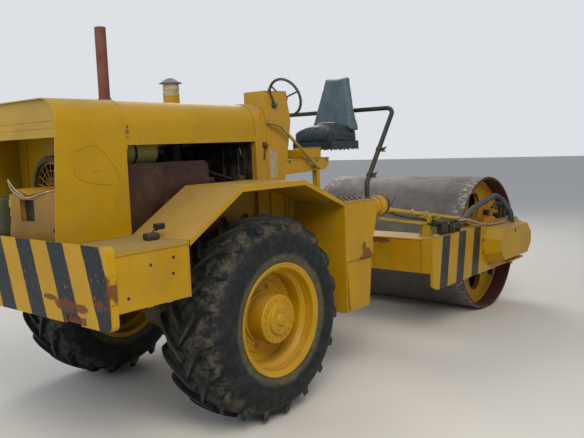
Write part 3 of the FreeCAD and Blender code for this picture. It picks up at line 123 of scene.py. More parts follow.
def clean(piece, gap=1e-5):
    """Merges doubled corners and turns all faces outwards."""
    everything(piece)
    bpy.ops.mesh.remove_doubles(threshold=gap)
    bpy.ops.mesh.normals_make_consistent(inside=False)
    leave_edit()
    return piece


def change(piece, kind, **settings):
    """Adds a modifier and applies it."""
    choose(piece)
    bpy.ops.object.modifier_add(type=kind)
    modifier = piece.modifiers[-1]
    for key, value in settings.items():
        setattr(modifier, key, value)
    bpy.ops.object.modifier_apply(modifier=modifier.name)
    return piece


def soften(piece, width, segments=2, angle=30):
    """Rounds the edges of a piece."""
    return change(piece, "BEVEL", width=width, segments=segments, limit_method="ANGLE",
                  angle_limit=math.radians(angle), use_clamp_overlap=True)


def smooth(piece, angle=35):
    choose(piece)
    bpy.ops.object.shade_smooth_by_angle(angle=math.radians(angle))
    return piece


def trace(name, points, closed=False):
    """Draws a line from point to point, from a plane merged to one corner, and stays in edit mode."""
    points = [Vector(p) for p in points]
    bpy.ops.object.select_all(action="DESELECT")
    bpy.ops.mesh.primitive_plane_add(size=0.01, location=points[0])
    piece = new(name)
    bpy.ops.object.mode_set(mode="EDIT")
    bpy.ops.mesh.select_mode(type="VERT")
    bpy.ops.mesh.select_all(action="SELECT")
    bpy.ops.mesh.merge(type="CENTER")
    for before, after in zip(points, points[1:]):
        bpy.ops.mesh.extrude_vertices_move(TRANSFORM_OT_translate={"value": after - before})
    if closed:
        bpy.ops.mesh.select_all(action="SELECT")
        bpy.ops.mesh.edge_face_add()
    return piece


AXES = {"X": Vector((1, 0, 0)), "Y": Vector((0, 1, 0)), "Z": Vector((0, 0, 1))}


def lathe(name, profile, axis, place, steps=64, bevel=0.0, angle=35):
    """Spins a profile of (distance along the axis, radius) round an axis through a place."""
    along = AXES[axis]
    out = AXES["X" if axis != "X" else "Z"]
    piece = trace(name, [Vector(place) + along * w + out * r for w, r in profile])
    bpy.ops.mesh.select_all(action="SELECT")
    bpy.ops.mesh.spin(steps=steps, angle=2 * math.pi, center=Vector(place), axis=along)
    leave_edit()
    clean(piece)
    if bevel:
        soften(piece, bevel)
    return smooth(piece, angle)


def slab(name, outline, direction, bevel=0.0, angle=35):
    """Draws an outline, fills it and pulls it out into a plate."""
    piece = trace(name, outline, closed=True)
    bpy.ops.mesh.extrude_region_move(TRANSFORM_OT_translate={"value": Vector(direction)})
    leave_edit()
    clean(piece)
    if bevel:
        soften(piece, bevel)
    return smooth(piece, angle)


def block(name, low, high, bevel=0.003):
    """A block between two corners with its edges rounded."""
    low, high = Vector(low), Vector(high)
    bpy.ops.object.select_all(action="DESELECT")
    bpy.ops.mesh.primitive_cube_add(size=1, location=(low + high) / 2, scale=high - low)
    piece = new(name)
    if bevel:
        soften(piece, bevel)
    return smooth(piece)


def round_line(name, points, radius, smooth_run=True, sides=6):
    """A round tube along a smooth line, still a curve."""
    bpy.ops.object.select_all(action="DESELECT")
    bpy.ops.curve.primitive_nurbs_path_add()
    piece = bpy.context.object
    piece.name = piece.data.name = name
    line = piece.data
    line.splines.clear()
    spline = line.splines.new("NURBS" if smooth_run else "POLY")
    spline.points.add(len(points) - 1)
    for point, place in zip(spline.points, points):
        point.co = (*place, 1)
    if smooth_run:
        spline.order_u = 3
        spline.use_endpoint_u = True
    line.resolution_u = 8
    line.bevel_depth = radius
    line.bevel_resolution = sides
    line.use_fill_caps = True
    return piece


def hose(name, points, radius, smooth_run=True, sides=6):
    """A round tube along a smooth line, made a mesh."""
    choose(round_line(name, points, radius, smooth_run, sides))
    bpy.ops.object.convert(target="MESH")
    piece = bpy.context.object
    return smooth(clean(piece), 50)


def bolt(name, radius, height, place, axis="Z", washer=1.35):
    """A hexagon bolt head on its washer, with its top corners cut."""
    turn = {"Z": (0, 0, 0), "X": (0, math.pi / 2, 0), "Y": (-math.pi / 2, 0, 0),
            "-Y": (math.pi / 2, 0, 0), "-X": (0, -math.pi / 2, 0), "-Z": (math.pi, 0, 0)}[axis]
    bpy.ops.object.select_all(action="DESELECT")
    bpy.ops.mesh.primitive_cylinder_add(vertices=16, radius=radius * washer, depth=height * 0.4,
                                        location=(0, 0, height * 0.1))
    base = new(name + "_washer")
    bpy.ops.object.select_all(action="DESELECT")
    bpy.ops.mesh.primitive_cylinder_add(vertices=6, radius=radius, depth=height, location=(0, 0, height / 2))
    head = new(name)
    pick(head, lambda c, n: n.z > 0.9)
    bpy.ops.mesh.inset(thickness=radius * 0.22, depth=radius * 0.1)
    leave_edit()
    join(name, head, base)
    head.data.transform(Matrix.Translation(Vector(place)) @ Euler_turn(turn))
    return smooth(head, 25)


def Euler_turn(angles):
    return (Matrix.Rotation(angles[2], 4, "Z") @ Matrix.Rotation(angles[1], 4, "Y")
            @ Matrix.Rotation(angles[0], 4, "X"))


def join(name, *pieces):
    """Joins pieces into the first one."""
    if len(pieces) > 1:
        choose(*reversed(pieces))
        bpy.ops.object.join()
    pieces[0].name = pieces[0].data.name = name
    return pieces[0]


def again(piece, moves):
    """Copies of a piece, each with a mesh of its own, moved by the given matrices."""
    made = []
    for move in moves:
        copy = piece.copy()
        copy.data = piece.data.copy()
        copy.data.transform(move)
        if move.determinant() < 0:
            copy.data.flip_normals()
        bpy.context.collection.objects.link(copy)
        made.append(copy)
    return made


def round_about(piece, axis, place, count, start=1):
    """Turns copies of a piece round an axis and joins them to it."""
    there, back = Matrix.Translation(Vector(place)), Matrix.Translation(-Vector(place))
    turns = [there @ Matrix.Rotation(2 * math.pi * n / count, 4, AXES[axis]) @ back
             for n in range(start, count)]
    return join(piece.name, piece, *again(piece, turns))


def shifted(piece, *places):
    """Copies of a piece moved by each of these amounts, joined to it."""
    return join(piece.name, piece, *again(piece, [Matrix.Translation(Vector(p)) for p in places]))


FLIP = Matrix.Scale(-1, 4, (0, 1, 0))


def both_sides(piece):
    """Joins the mirror image on the machine's other side to a piece."""
    return join(piece.name, piece, *again(piece, [FLIP]))


def at(x, y, z):
    """A place counted from the rear axle along the machine."""
    return Vector((AXLE.x + x, y, z))


def arc(place, radius, start, end, steps=5):
    """Points on an arc about a place, with its angles in degrees."""
    turns = [math.radians(start + (end - start) * n / steps) for n in range(steps + 1)]
    return [(place[0] + radius * math.cos(t), place[1] + radius * math.sin(t)) for t in turns]


def seen(axis, place, points):
    """Puts an outline drawn along one axis into the machine."""
    if axis == "X":
        return [at(place, u, w) for u, w in points]
    if axis == "Y":
        return [at(u, place, w) for u, w in points]
    return [at(u, w, place) for u, w in points]


def plate(name, axis, start, end, points, bevel=0.002, angle=35):
    """A plate with an outline seen along an axis, from one place to another."""
    return slab(name, seen(axis, start, points), AXES[axis] * (end - start), bevel, angle)


def ribbon(name, axis, start, end, points, thickness, bevel=0.0015, angle=35):
    """A bent sheet: an open line seen along an axis, pulled out and given its wall."""
    piece = trace(name, seen(axis, start, points))
    bpy.ops.mesh.select_all(action="SELECT")
    bpy.ops.mesh.extrude_region_move(TRANSFORM_OT_translate={"value": AXES[axis] * (end - start)})
    leave_edit()
    clean(piece)
    change(piece, "SOLIDIFY", thickness=thickness, offset=0, use_even_offset=True)
    if bevel:
        soften(piece, bevel, 2, 40)
    return smooth(piece, angle)


def case(name, x, y, z, bevel=0.003):
    """A block between two places along each axis."""
    return block(name, at(x[0], y[0], z[0]), at(x[1], y[1], z[1]), bevel)


def cut_off(piece, place, direction):
    """Cuts away what lies beyond a plane and closes the cut."""
    everything(piece)
    bpy.ops.mesh.bisect(plane_co=Vector(place), plane_no=Vector(direction), use_fill=True, clear_outer=True)
    leave_edit()
    return piece


def drill(piece, *tools):
    """Cuts the tools out of a piece."""
    for tool in tools:
        change(piece, "BOOLEAN", object=tool, operation="DIFFERENCE", solver="EXACT")
        bpy.data.objects.remove(tool)
    return piece


def bolts(name, radius, height, axis, places):
    """The same bolt at several places."""
    first = bolt(name, radius, height, (0, 0, 0), axis)
    made = again(first, [Matrix.Translation(Vector(p)) for p in places])
    bpy.data.objects.remove(first)
    return join(name, *made)


def bar(name, start, end, radius, sides=6):
    """A straight round bar."""
    return hose(name, [start, end], radius, False, sides)


def bends(points, radius, steps=6):
    """Rounds the corners of a line of points."""
    points = [Vector(p) for p in points]
    made = [points[0]]
    for before, corner, after in zip(points, points[1:], points[2:]):
        back, on = (before - corner).normalized(), (after - corner).normalized()
        half = back.angle(on) / 2
        reach = min(radius / math.tan(half), 0.45 * (before - corner).length, 0.45 * (after - corner).length)
        first, last = corner + back * reach, corner + on * reach
        middle = corner + (back + on).normalized() * (reach / math.cos(half))
        spread = (first - middle).angle(last - middle)
        for n in range(steps + 1):
            share = n / steps
            a = math.sin((1 - share) * spread) / math.sin(spread)
            b = math.sin(share * spread) / math.sin(spread)
            made.append(middle + (first - middle) * a + (last - middle) * b)
    return made + [points[-1]]


def tinted(material, *pieces):
    """Paints pieces before they are joined to others."""
    for piece in pieces:
        paint(piece, material)
    return pieces


def dress(piece, material, body, slot, *nodes):
    """Gives a finished piece its material, its body and the nodes it stands for."""
    change(piece, "WEIGHTED_NORMAL", keep_sharp=True)
    if material:
        piece.data.materials.clear()
        piece.data.materials.append(bpy.data.materials[material])
    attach(piece, body)
    if nodes:
        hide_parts(*nodes)
    return piece


def paint(piece, material):
    """Gives one part of a piece its material before it is joined."""
    piece.data.materials.clear()
    piece.data.materials.append(bpy.data.materials[material])
    return piece


# ---------------------------------------------------------------- finishes


def linear(text):
    """Turns an sRGB hex colour into Blender's linear numbers."""
    parts = [int(text[i:i + 2], 16) / 255 for i in (1, 3, 5)]
    return tuple(c / 12.92 if c <= 0.04045 else ((c + 0.055) / 1.055) ** 2.4 for c in parts) + (1.0,)


def add(tree, kind, inputs=None, out=0, **settings):
    """Adds one node with its settings, and its inputs as numbers or as links; gives back an output."""
    made = tree.nodes.new("ShaderNode" + kind)
    for key, value in settings.items():
        setattr(made, key, value)
    for key, value in (inputs or {}).items():
        if isinstance(value, bpy.types.NodeSocket):
            tree.links.new(value, made.inputs[key])
        else:
            made.inputs[key].default_value = value
    return made.outputs[out]


def finish(name):
    """A new material with an empty shader, and the object's own coordinates."""
    material = bpy.data.materials.new(name)
    material.use_nodes = True
    tree = material.node_tree
    shader = tree.nodes["Principled BSDF"]
    return tree, shader, add(tree, "TexCoord", out=3)


def blend(tree, amount, first, second, mode="MIX"):
    return add(tree, "Mix", {0: amount, 6: first, 7: second}, out=2, data_type="RGBA", blend_type=mode)


def ramp(tree, value, low, high, start=0.0, end=1.0):
    return add(tree, "MapRange", {0: value, 1: low, 2: high, 3: start, 4: end}, interpolation_type="SMOOTHSTEP")


def sums(tree, how, a, b=0.5):
    return add(tree, "Math", {0: a, 1: b}, operation=how, use_clamp=False)


def grain(tree, coords, size_mm, detail=3.0, rough=0.55, stretch=(1, 1, 1)):
    """Noise whose lumps are about this many millimetres across."""
    where = coords
    if stretch != (1, 1, 1):
        where = add(tree, "Mapping", {"Vector": coords, "Scale": stretch})
    return add(tree, "TexNoise", {"Vector": where, "Scale": 1000 / size_mm, "Detail": detail,
                                  "Roughness": rough})


def edges(tree, radius_mm):
    """One along the edges of a shape, nought on its flat faces."""
    rounded = add(tree, "Bevel", {"Radius": radius_mm / 1000}, samples=6)
    true = add(tree, "NewGeometry", out=3)
    flat = add(tree, "VectorMath", {0: rounded, 1: true}, out=1, operation="DOT_PRODUCT")
    return ramp(tree, flat, 0.995, 0.86)


def upward(tree):
    normal = add(tree, "NewGeometry", out=1)
    return ramp(tree, add(tree, "SeparateXYZ", {0: normal}, out=2), 0.35, 0.95)


def bump(tree, shader, height, millimetres, strength=1.0):
    shader_normal = add(tree, "Bump", {"Height": height, "Distance": millimetres / 1000, "Strength": strength})
    tree.links.new(shader_normal, shader.inputs["Normal"])


def stripes(tree, coords, colour, bands):
    """Slanted warning bands: dark where the place along the face falls in a band."""
    split = add(tree, "SeparateXYZ", {0: coords}).node
    along = split.outputs[bands["axis"]]
    drop = sums(tree, "MULTIPLY", sums(tree, "SUBTRACT", bands["top"], split.outputs[2]), bands["lean"])
    place = sums(tree, "ADD", along, drop)
    place = sums(tree, "ADD", place, sums(tree, "MULTIPLY", sums(
        tree, "SUBTRACT", grain(tree, coords, 60, 4), 0.5), 0.012))
    phase = sums(tree, "FRACT", sums(tree, "DIVIDE", sums(tree, "SUBTRACT", place, bands["first"]),
                                     bands["pitch"]))
    dark = sums(tree, "LESS_THAN", phase, bands["share"])
    face = sums(tree, "ABSOLUTE", split.outputs[bands["across"]])
    dark = sums(tree, "MULTIPLY", dark, sums(tree, "GREATER_THAN", face, bands["beyond"]))
    for low, high in bands["inside"]:
        dark = sums(tree, "MULTIPLY", dark, sums(tree, "MULTIPLY", sums(tree, "GREATER_THAN", along, low),
                                                 sums(tree, "LESS_THAN", along, high)))
    worn = ramp(tree, grain(tree, coords, 25, 6, 0.7), 0.60, 0.68)
    dark = sums(tree, "MULTIPLY", dark, sums(tree, "SUBTRACT", 1.0, sums(tree, "MULTIPLY", worn, 0.75)))
    return blend(tree, dark, colour, linear("#121B22"))


def enamel(name, colour, faded, dust=0.35, rust=0.5, gloss=0.42, bands=None, wear_mm=5.0, soil="#9A8A6C", patches=()):
    """Machine enamel, sprayed and left outdoors: a soft gloss, dulled by dust that lies on level faces
    and runs down upright ones, chipped to brown rust along the edges, in scattered spots and in patches."""
    tree, shader, coords = finish(name)
    broad = ramp(tree, grain(tree, coords, 420, 4, 0.6), 0.35, 0.68)
    base = blend(tree, broad, linear(colour), linear(faded))
    cloudy = ramp(tree, grain(tree, coords, 90, 6, 0.65), 0.45, 0.75)
    base = blend(tree, sums(tree, "MULTIPLY", cloudy, 0.16), base, linear("#8A6A22"))
    if bands:
        base = stripes(tree, coords, base, bands)
    runs = ramp(tree, grain(tree, coords, 40, 5, 0.6, (1, 1, 0.08)), 0.58, 0.80)
    base = blend(tree, sums(tree, "MULTIPLY", runs, 0.22), base, linear("#6B4B22"))
    lying = sums(tree, "MULTIPLY", upward(tree), ramp(tree, grain(tree, coords, 70, 6, 0.6), 0.12, 0.55))
    haze = sums(tree, "MULTIPLY", ramp(tree, grain(tree, coords, 260, 3), 0.4, 0.7), 0.22)
    dusty = sums(tree, "MULTIPLY", sums(tree, "MAXIMUM", lying, haze), dust)
    base = blend(tree, dusty, base, linear(soil))
    spots = ramp(tree, grain(tree, coords, 34, 9, 0.72), 0.665, 0.70)
    chips = sums(tree, "MULTIPLY", edges(tree, wear_mm), ramp(tree, grain(tree, coords, 18, 6, 0.7), 0.50, 0.60))
    for middle, reach, dense in patches:
        near = add(tree, "Mapping", {"Vector": coords, "Location": tuple(-m / r for m, r in zip(middle, reach)),
                                     "Scale": tuple(1 / r for r in reach)})
        far = add(tree, "VectorMath", {0: near}, out=1, operation="LENGTH")
        torn = sums(tree, "ADD", far, sums(tree, "MULTIPLY", sums(tree, "SUBTRACT", grain(
            tree, coords, 40, 8, 0.7), 0.5), 3.0 - 2.0 * dense))
        chips = sums(tree, "MAXIMUM", chips, ramp(tree, torn, 0.95, 0.80))
    rusty = sums(tree, "MULTIPLY", sums(tree, "MAXIMUM", spots, chips), rust)
    tone = blend(tree, grain(tree, coords, 9, 4), linear("#3A1E12"), linear("#7E4A2A"))
    base = blend(tree, rusty, base, tone)
    tree.links.new(base, shader.inputs["Base Color"])
    rough = sums(tree, "ADD", sums(tree, "MULTIPLY", dusty, 0.45), sums(tree, "MULTIPLY", rusty, 0.4))
    rough = sums(tree, "ADD", rough, sums(tree, "MULTIPLY", grain(tree, coords, 14, 4), 0.12))
    tree.links.new(sums(tree, "ADD", rough, gloss - 0.06), shader.inputs["Roughness"])
    shader.inputs["Specular IOR Level"].default_value = 0.28
    height = sums(tree, "ADD", sums(tree, "MULTIPLY", grain(tree, coords, 6, 3), 0.25),
                  sums(tree, "MULTIPLY", rusty, -0.8))
    height = sums(tree, "ADD", height, sums(tree, "MULTIPLY", grain(tree, coords, 380, 2), 2.2))
    bump(tree, shader, height, 0.9)
    return name


def tyre_rubber(name):
    """Moulded tyre rubber: black and dull, its black tinted blue as a painted sky reflection, pale with dried dust on
    the lug tops, in the bottom of the tread and in a ring beside the rim, with fine moulded rings on the sidewall."""
    tree, shader, coords = finish(name)
    at_axle = add(tree, "Mapping", {"Vector": coords, "Location": (-AXLE.x, 0, -AXLE.z)})
    split = add(tree, "SeparateXYZ", {0: at_axle}).node
    radius = sums(tree, "SQRT", sums(tree, "ADD", sums(tree, "MULTIPLY", split.outputs[0], split.outputs[0]),
                                     sums(tree, "MULTIPLY", split.outputs[2], split.outputs[2])))
    # The black is the rubber's own; the blue in it is a painted reflection of the sky.
    base = blend(tree, ramp(tree, grain(tree, coords, 120, 4), 0.35, 0.7), linear("#0D1317"), linear("#161D21"))
    mud = ramp(tree, grain(tree, coords, 70, 8, 0.7), 0.42, 0.62)
    shoulder = sums(tree, "MULTIPLY", ramp(tree, radius, 0.60, 0.66), ramp(tree, radius, 0.735, 0.69))
    wobble = sums(tree, "ADD", radius, sums(tree, "MULTIPLY", grain(tree, coords, 90, 6, 0.6), 0.05))
    ring = sums(tree, "MULTIPLY", ramp(tree, wobble, 0.515, 0.475), 0.85)
    crest = sums(tree, "MULTIPLY", ramp(tree, radius, 0.742, 0.752), ramp(tree, grain(tree, coords, 16, 7, 0.7), 0.38, 0.62, 0.2, 0.75))
    where = sums(tree, "MAXIMUM", sums(tree, "MULTIPLY", shoulder, 0.55), 0.10)
    dusty = sums(tree, "MAXIMUM", sums(tree, "MULTIPLY", mud, where), sums(tree, "MULTIPLY", crest, 0.8))
    base = blend(tree, dusty, base, blend(tree, grain(tree, coords, 15, 5), linear("#5A5042"), linear("#76705E")))
    base = blend(tree, sums(tree, "MULTIPLY", ring, ramp(tree, mud, 0, 1, 0.7, 1.0)), base, linear("#5E5A46"))
    dusty = sums(tree, "MAXIMUM", dusty, ring)
    tree.links.new(base, shader.inputs["Base Color"])
    tree.links.new(ramp(tree, dusty, 0, 1, 0.62, 0.95), shader.inputs["Roughness"])
    shader.inputs["Specular IOR Level"].default_value = 0.22
    rings = sums(tree, "SINE", sums(tree, "MULTIPLY", radius, 2 * math.pi * 1000 / 9))
    side = sums(tree, "MULTIPLY", ramp(tree, radius, 0.66, 0.62), ramp(tree, radius, 0.40, 0.44))
    height = sums(tree, "ADD", sums(tree, "MULTIPLY", sums(tree, "MULTIPLY", rings, side), 0.25),
                  grain(tree, coords, 12, 6, 0.7))
    bump(tree, shader, height, 1.6)
    return name


def bare_metal(name, colour, dark, roughness, metallic=1.0, spots=0.4, rust="#4A2A1A", scale=30, scuffed=None):
    """Bare steel: brushed or worn bright, with a grey-brown film and rust in patches, scuffed pale near an end."""
    tree, shader, coords = finish(name)
    film = ramp(tree, grain(tree, coords, scale * 4, 6, 0.65), 0.38, 0.66)
    base = blend(tree, film, linear(colour), linear(dark))
    rusty = sums(tree, "MULTIPLY", ramp(tree, grain(tree, coords, scale, 8, 0.7), 0.5, 0.66), spots)
    base = blend(tree, rusty, base, linear(rust))
    if scuffed:
        across = sums(tree, "ABSOLUTE", add(tree, "SeparateXYZ", {0: coords}, out=1))
        scuffs = sums(tree, "MULTIPLY", ramp(tree, across, scuffed - 0.08, scuffed + 0.08),
                      ramp(tree, grain(tree, coords, 30, 8, 0.75, (1, 0.5, 1)), 0.50, 0.60))
        base = blend(tree, scuffs, base, linear("#B2ABA5"))
    tree.links.new(base, shader.inputs["Base Color"])
    tree.links.new(ramp(tree, rusty, 0, 1, metallic, 0.0), shader.inputs["Metallic"])
    rough = ramp(tree, sums(tree, "MAXIMUM", rusty, sums(tree, "MULTIPLY", film, 0.5)), 0, 1, roughness, 0.9)
    tree.links.new(rough, shader.inputs["Roughness"])
    bump(tree, shader, sums(tree, "ADD", grain(tree, coords, scale / 3, 5), rusty), 0.5)
    return name


def dull(name, colour, second, roughness, size_mm=40, height_mm=0.4, dust=0.3, metallic=0.0):
    """A plain dull surface, such as plastic, rubber or oily paint, with dust in its hollows."""
    tree, shader, coords = finish(name)
    base = blend(tree, ramp(tree, grain(tree, coords, size_mm, 5), 0.35, 0.7), linear(colour), linear(second))
    dusty = sums(tree, "MULTIPLY", ramp(tree, grain(tree, coords, size_mm * 2.5, 6), 0.42, 0.7), dust)
    dusty = sums(tree, "MAXIMUM", dusty, sums(tree, "MULTIPLY", upward(tree), dust))
    base = blend(tree, dusty, base, linear("#86755C"))
    tree.links.new(base, shader.inputs["Base Color"])
    tree.links.new(ramp(tree, dusty, 0, 0.6, roughness, 0.92), shader.inputs["Roughness"])
    shader.inputs["Metallic"].default_value = metallic
    shader.inputs["Specular IOR Level"].default_value = 0.3
    bump(tree, shader, grain(tree, coords, size_mm / 6, 4), height_mm)
    return name


def tarpaulin(name, colour, second, rub):
    """Coated tarpaulin over the seat: dull blue-grey, a fine weave showing, paler where it is rubbed and dusty."""
    tree, shader, coords = finish(name)
    base = blend(tree, ramp(tree, grain(tree, coords, 130, 5), 0.35, 0.68), linear(colour), linear(second))
    rubbed = sums(tree, "MULTIPLY", ramp(tree, grain(tree, coords, 30, 8, 0.7), 0.56, 0.74), rub)
    base = blend(tree, sums(tree, "MAXIMUM", rubbed, sums(tree, "MULTIPLY", upward(tree), rub)), base, linear("#728088"))
    tree.links.new(base, shader.inputs["Base Color"])
    tree.links.new(ramp(tree, rubbed, 0, 0.5, 0.50, 0.80), shader.inputs["Roughness"])
    shader.inputs["Specular IOR Level"].default_value = 0.3
    shader.inputs["Sheen Weight"].default_value = 0.05
    weave = sums(tree, "MULTIPLY", add(tree, "TexWave", {"Vector": coords, "Scale": 260.0}, out=1, bands_direction="Z"), 0.12)
    crumple = grain(tree, coords, 70, 5, 0.6, (1, 1, 0.45))
    bump(tree, shader, sums(tree, "ADD", weave, sums(tree, "MULTIPLY", crumple, 6.0)), 2.0)
    return name


BUMPER = {"axis": 1, "top": 1.465, "lean": 0.137 / 0.475, "first": -0.340 + 0.37, "pitch": 0.37, "share": 0.49,
          "inside": [(-1.3, 1.3)], "across": 0, "beyond": -(AXLE.x - 1.396)}
ARM = {"axis": 0, "top": 1.035, "lean": 0.09 / 0.515, "first": AXLE.x + 2.448, "pitch": 0.3595, "share": 0.46,
       "inside": [(AXLE.x + 2.26, AXLE.x + 3.34)], "across": 1, "beyond": 1.196}


# Rust patches: middle, reach along each axis, how dense
BUMPER_RUST = [((AXLE.x - 1.40, -0.70, 1.090), (0.2, 0.13, 0.045), 0.9), ((AXLE.x - 1.40, -0.86, 1.085), (0.2, 0.08, 0.03), 0.8),
               ((AXLE.x - 1.40, -0.88, 1.010), (0.2, 0.04, 0.03), 0.6), ((AXLE.x - 1.40, -0.54, 1.120), (0.2, 0.09, 0.02), 0.7),
               ((AXLE.x - 1.40, -1.05, 1.130), (0.2, 0.05, 0.03), 0.2),
               ((AXLE.x - 1.40, -1.14, 1.20), (0.2, 0.015, 0.12), 0.5)]
STEP_RUST = [((AXLE.x + 1.17, -1.15, 1.028), (0.135, 0.3, 0.028), 0.9), ((AXLE.x + 1.16, -1.15, 1.065), (0.080, 0.3, 0.045), 0.85),
             ((AXLE.x + 1.13, -1.15, 1.120), (0.035, 0.3, 0.050), 0.8)]
BEAM_RUST = [((AXLE.x + 2.25, -0.58, 0.990), (0.4, 0.16, 0.032), 0.9), ((AXLE.x + 2.25, -0.40, 1.000), (0.4, 0.12, 0.03), 0.8)]


def make_materials():
    paint = bpy.context.scene.roller_paint
    dust, rust = paint.dust, paint.rust
    yellow, worn = "#B08800", "#A27C02"
    enamel("yellow_machine_enamel", yellow, worn, dust=dust, rust=rust)
    enamel("yellow_hood_enamel", "#A88400", "#9C7A00", dust=dust * 0.5, rust=rust * 0.8)
    enamel("dusty_console_enamel", "#AC8414", "#A07E1C", dust=dust * 1.6, rust=rust * 0.8)
    enamel("yellow_fender_enamel", "#AE8600", "#A07A0A", dust=dust * 0.9, rust=rust * 0.8)
    enamel("yellow_pipe_enamel", "#B0901A", "#968022", dust=dust * 1.2, rust=rust)
    enamel("yellow_cover_enamel", "#B28A00", "#A88204", dust=dust * 0.7, rust=rust)
    enamel("yellow_drum_enamel", "#C08E02", "#A87A0A", dust=dust * 0.5, rust=rust)
    enamel("dusty_deck_enamel", "#A08028", "#94793A", dust=0.85, rust=rust, gloss=0.6, soil="#8C7A50")
    enamel("dusty_platform_enamel", "#A08028", "#8E7A44", dust=0.95, rust=rust, gloss=0.6, soil="#8A8070")
    enamel("yellow_enamel_with_bumper_bands", "#B68C00", "#AA8200", dust=dust * 0.3, rust=rust * 1.1, bands=BUMPER,
           patches=BUMPER_RUST)
    enamel("yellow_enamel_with_rusted_step", yellow, worn, dust=dust * 0.7, rust=rust, patches=STEP_RUST)
    enamel("yellow_enamel_with_rusted_beam", "#B88C00", "#AC8000", dust=dust * 0.7, rust=rust, patches=BEAM_RUST)
    enamel("yellow_enamel_with_arm_bands", "#B48A00", "#A88204", dust=dust * 0.7, rust=rust, bands=ARM)
    enamel("yellow_wheel_enamel", "#B88C00", "#A88008", dust=dust * 0.5, rust=rust * 0.5, gloss=0.38)
    enamel("worn_handle_enamel", "#94803A", "#5E5A4C", dust=dust, rust=rust)
    enamel("maroon_engine_enamel", "#3C2620", "#301E1A", dust=0.35, rust=0.4)
    enamel("green_drum_enamel", "#B8B262", "#9E9A50", dust=0.3, rust=0.4)
    enamel("dark_canister_enamel", "#2C3418", "#222814", dust=0.1, rust=0.3)
    enamel("ochre_box_enamel", "#90680A", "#785816", dust=0.2, rust=0.5, soil="#8A7C5C")
    enamel("blue_grey_enamel", "#6F8796", "#5C7280", dust=0.3, rust=0.3)
    enamel("black_rail_enamel", "#1B2221", "#262C29", dust=0.12, rust=0.3)
    enamel("oily_chassis_enamel", "#3A3020", "#241E18", dust=0.6, rust=0.5, gloss=0.6)
    enamel("engine_iron_enamel", "#26241F", "#191817", dust=0.5, rust=0.35, gloss=0.55)
    enamel("red_brown_primer", "#5A2A1E", "#3E2219", dust=0.4, rust=0.7, gloss=0.7)
    tyre_rubber("moulded_tyre_rubber")
    bare_metal("rolled_drum_steel", "#66625F", "#5B5652", 0.68, metallic=0.25, spots=0.35, rust="#54463E", scale=80, scuffed=0.91)
    bare_metal("rusted_drum_inside", "#52281C", "#3C1E16", 0.8, metallic=0.2, spots=0.7, rust="#5E2E1E")
    bare_metal("rusted_exhaust_steel", "#70423A", "#563028", 0.8, metallic=0.1, spots=0.6, rust="#7A4C40")
    bare_metal("tarnished_steel", "#6E6A64", "#4A4642", 0.45, spots=0.5)
    bare_metal("greasy_fitting_steel", "#4A443A", "#2E2A24", 0.5, metallic=0.7, spots=0.4)
    bare_metal("brass_fittings", "#A8883A", "#7A6228", 0.35, spots=0.2)
    bare_metal("ground_chrome", "#C8C8C8", "#9A9896", 0.14, spots=0.1)
    bare_metal("zinc_bolt_steel", "#8C8880", "#5E5A54", 0.4, spots=0.5)
    dull("hydraulic_hose_rubber", "#2C3A42", "#38464C", 0.6, dust=0.3)
    dull("pale_hose_rubber", "#A88E7C", "#8E7A66", 0.6, dust=0.3)
    dull("black_moulded_plastic", "#17181A", "#232427", 0.5, dust=0.25)
    dull("grey_wheel_plastic", "#3E3C3C", "#55504E", 0.5, dust=0.3)
    dull("weathered_shroud_rubber", "#5C5038", "#4C4432", 0.8, dust=0.4)
    # Plain dark parts such as the radiator core, the fan and the scratches, and also painted shade: dark discs, slots
    # and a sheet put in holes and a window whose insides are in shade.
    dull("dark_radiator_core", "#1A1714", "#28221E", 0.8, dust=0.15)
    dull("lamp_bulb_glass", "#B9B4A4", "#9C9688", 0.15, dust=0.25)
    dull("pale_blank_plate", "#A89E84", "#948A70", 0.5, dust=0.3)
    dull("white_torn_thread", "#B8BCB8", "#A0A4A0", 0.8, dust=0.1)
    tarpaulin("dark_seat_tarpaulin", "#1B2C35", "#142027", 0.04)
    tarpaulin("pale_seat_tarpaulin", "#4A5C66", "#3E4F58", 0.30)


CAD_FINISH = {
    "yellow_machine_enamel": ("rear_deck", "tanks", "fender_right", "fender_left", "front_wall", "platform",
                              "step_boxes", "rear_hood", "front_hood", "cowl", "console", "seat_bracket",
                              "seat_pedestal", "air_intake", "cross_beam", "drum_carriers", "drum_heads",
                              "pipe_rack", "motor_covers", "work_lamps", "rim_right", "rim_left", "hub_right",
                              "hub_left", "fan_wall"),
    "yellow_enamel_with_bumper_bands": ("bumper",),
    "yellow_enamel_with_arm_bands": ("arm_right", "arm_left"),
    "maroon_engine_enamel": ("engine_cover",),
    "green_drum_enamel": ("air_cleaner", "canister"),
    "ochre_box_enamel": ("deck_box",),
    "black_rail_enamel": ("guard_rail", "grab_handle"),
    "oily_chassis_enamel": ("rear_chassis", "rear_axle", "engine_floor", "steering_bracket", "yoke",
                            "cylinder_barrel_right", "cylinder_barrel_left"),
    "engine_iron_enamel": ("engine_block",),
    "moulded_tyre_rubber": ("tyre_right", "tyre_left"),
    "rolled_drum_steel": ("drum_shell",),
    "rusted_exhaust_steel": ("exhaust_pipe",),
    "tarnished_steel": ("throttle_lever",),
    "ground_chrome": ("cylinder_rod_right", "cylinder_rod_left"),
    "hydraulic_hose_rubber": ("drive_hose",),
    "black_moulded_plastic": ("steering_wheel",),
    "dark_seat_tarpaulin": ("seat_cushion",),
    "pale_seat_tarpaulin": ("seat_back",),
}


# ---------------------------------------------------------------- what a user may change


class RollerPaint(bpy.types.PropertyGroup):
    dust: FloatProperty(name="Dust", description="How much dust lies on the paint", default=0.45, min=0, max=1,
                        subtype="FACTOR")
    rust: FloatProperty(name="Rust", description="How far the chips and spots have rusted", default=0.8, min=0,
                        max=1, subtype="FACTOR")


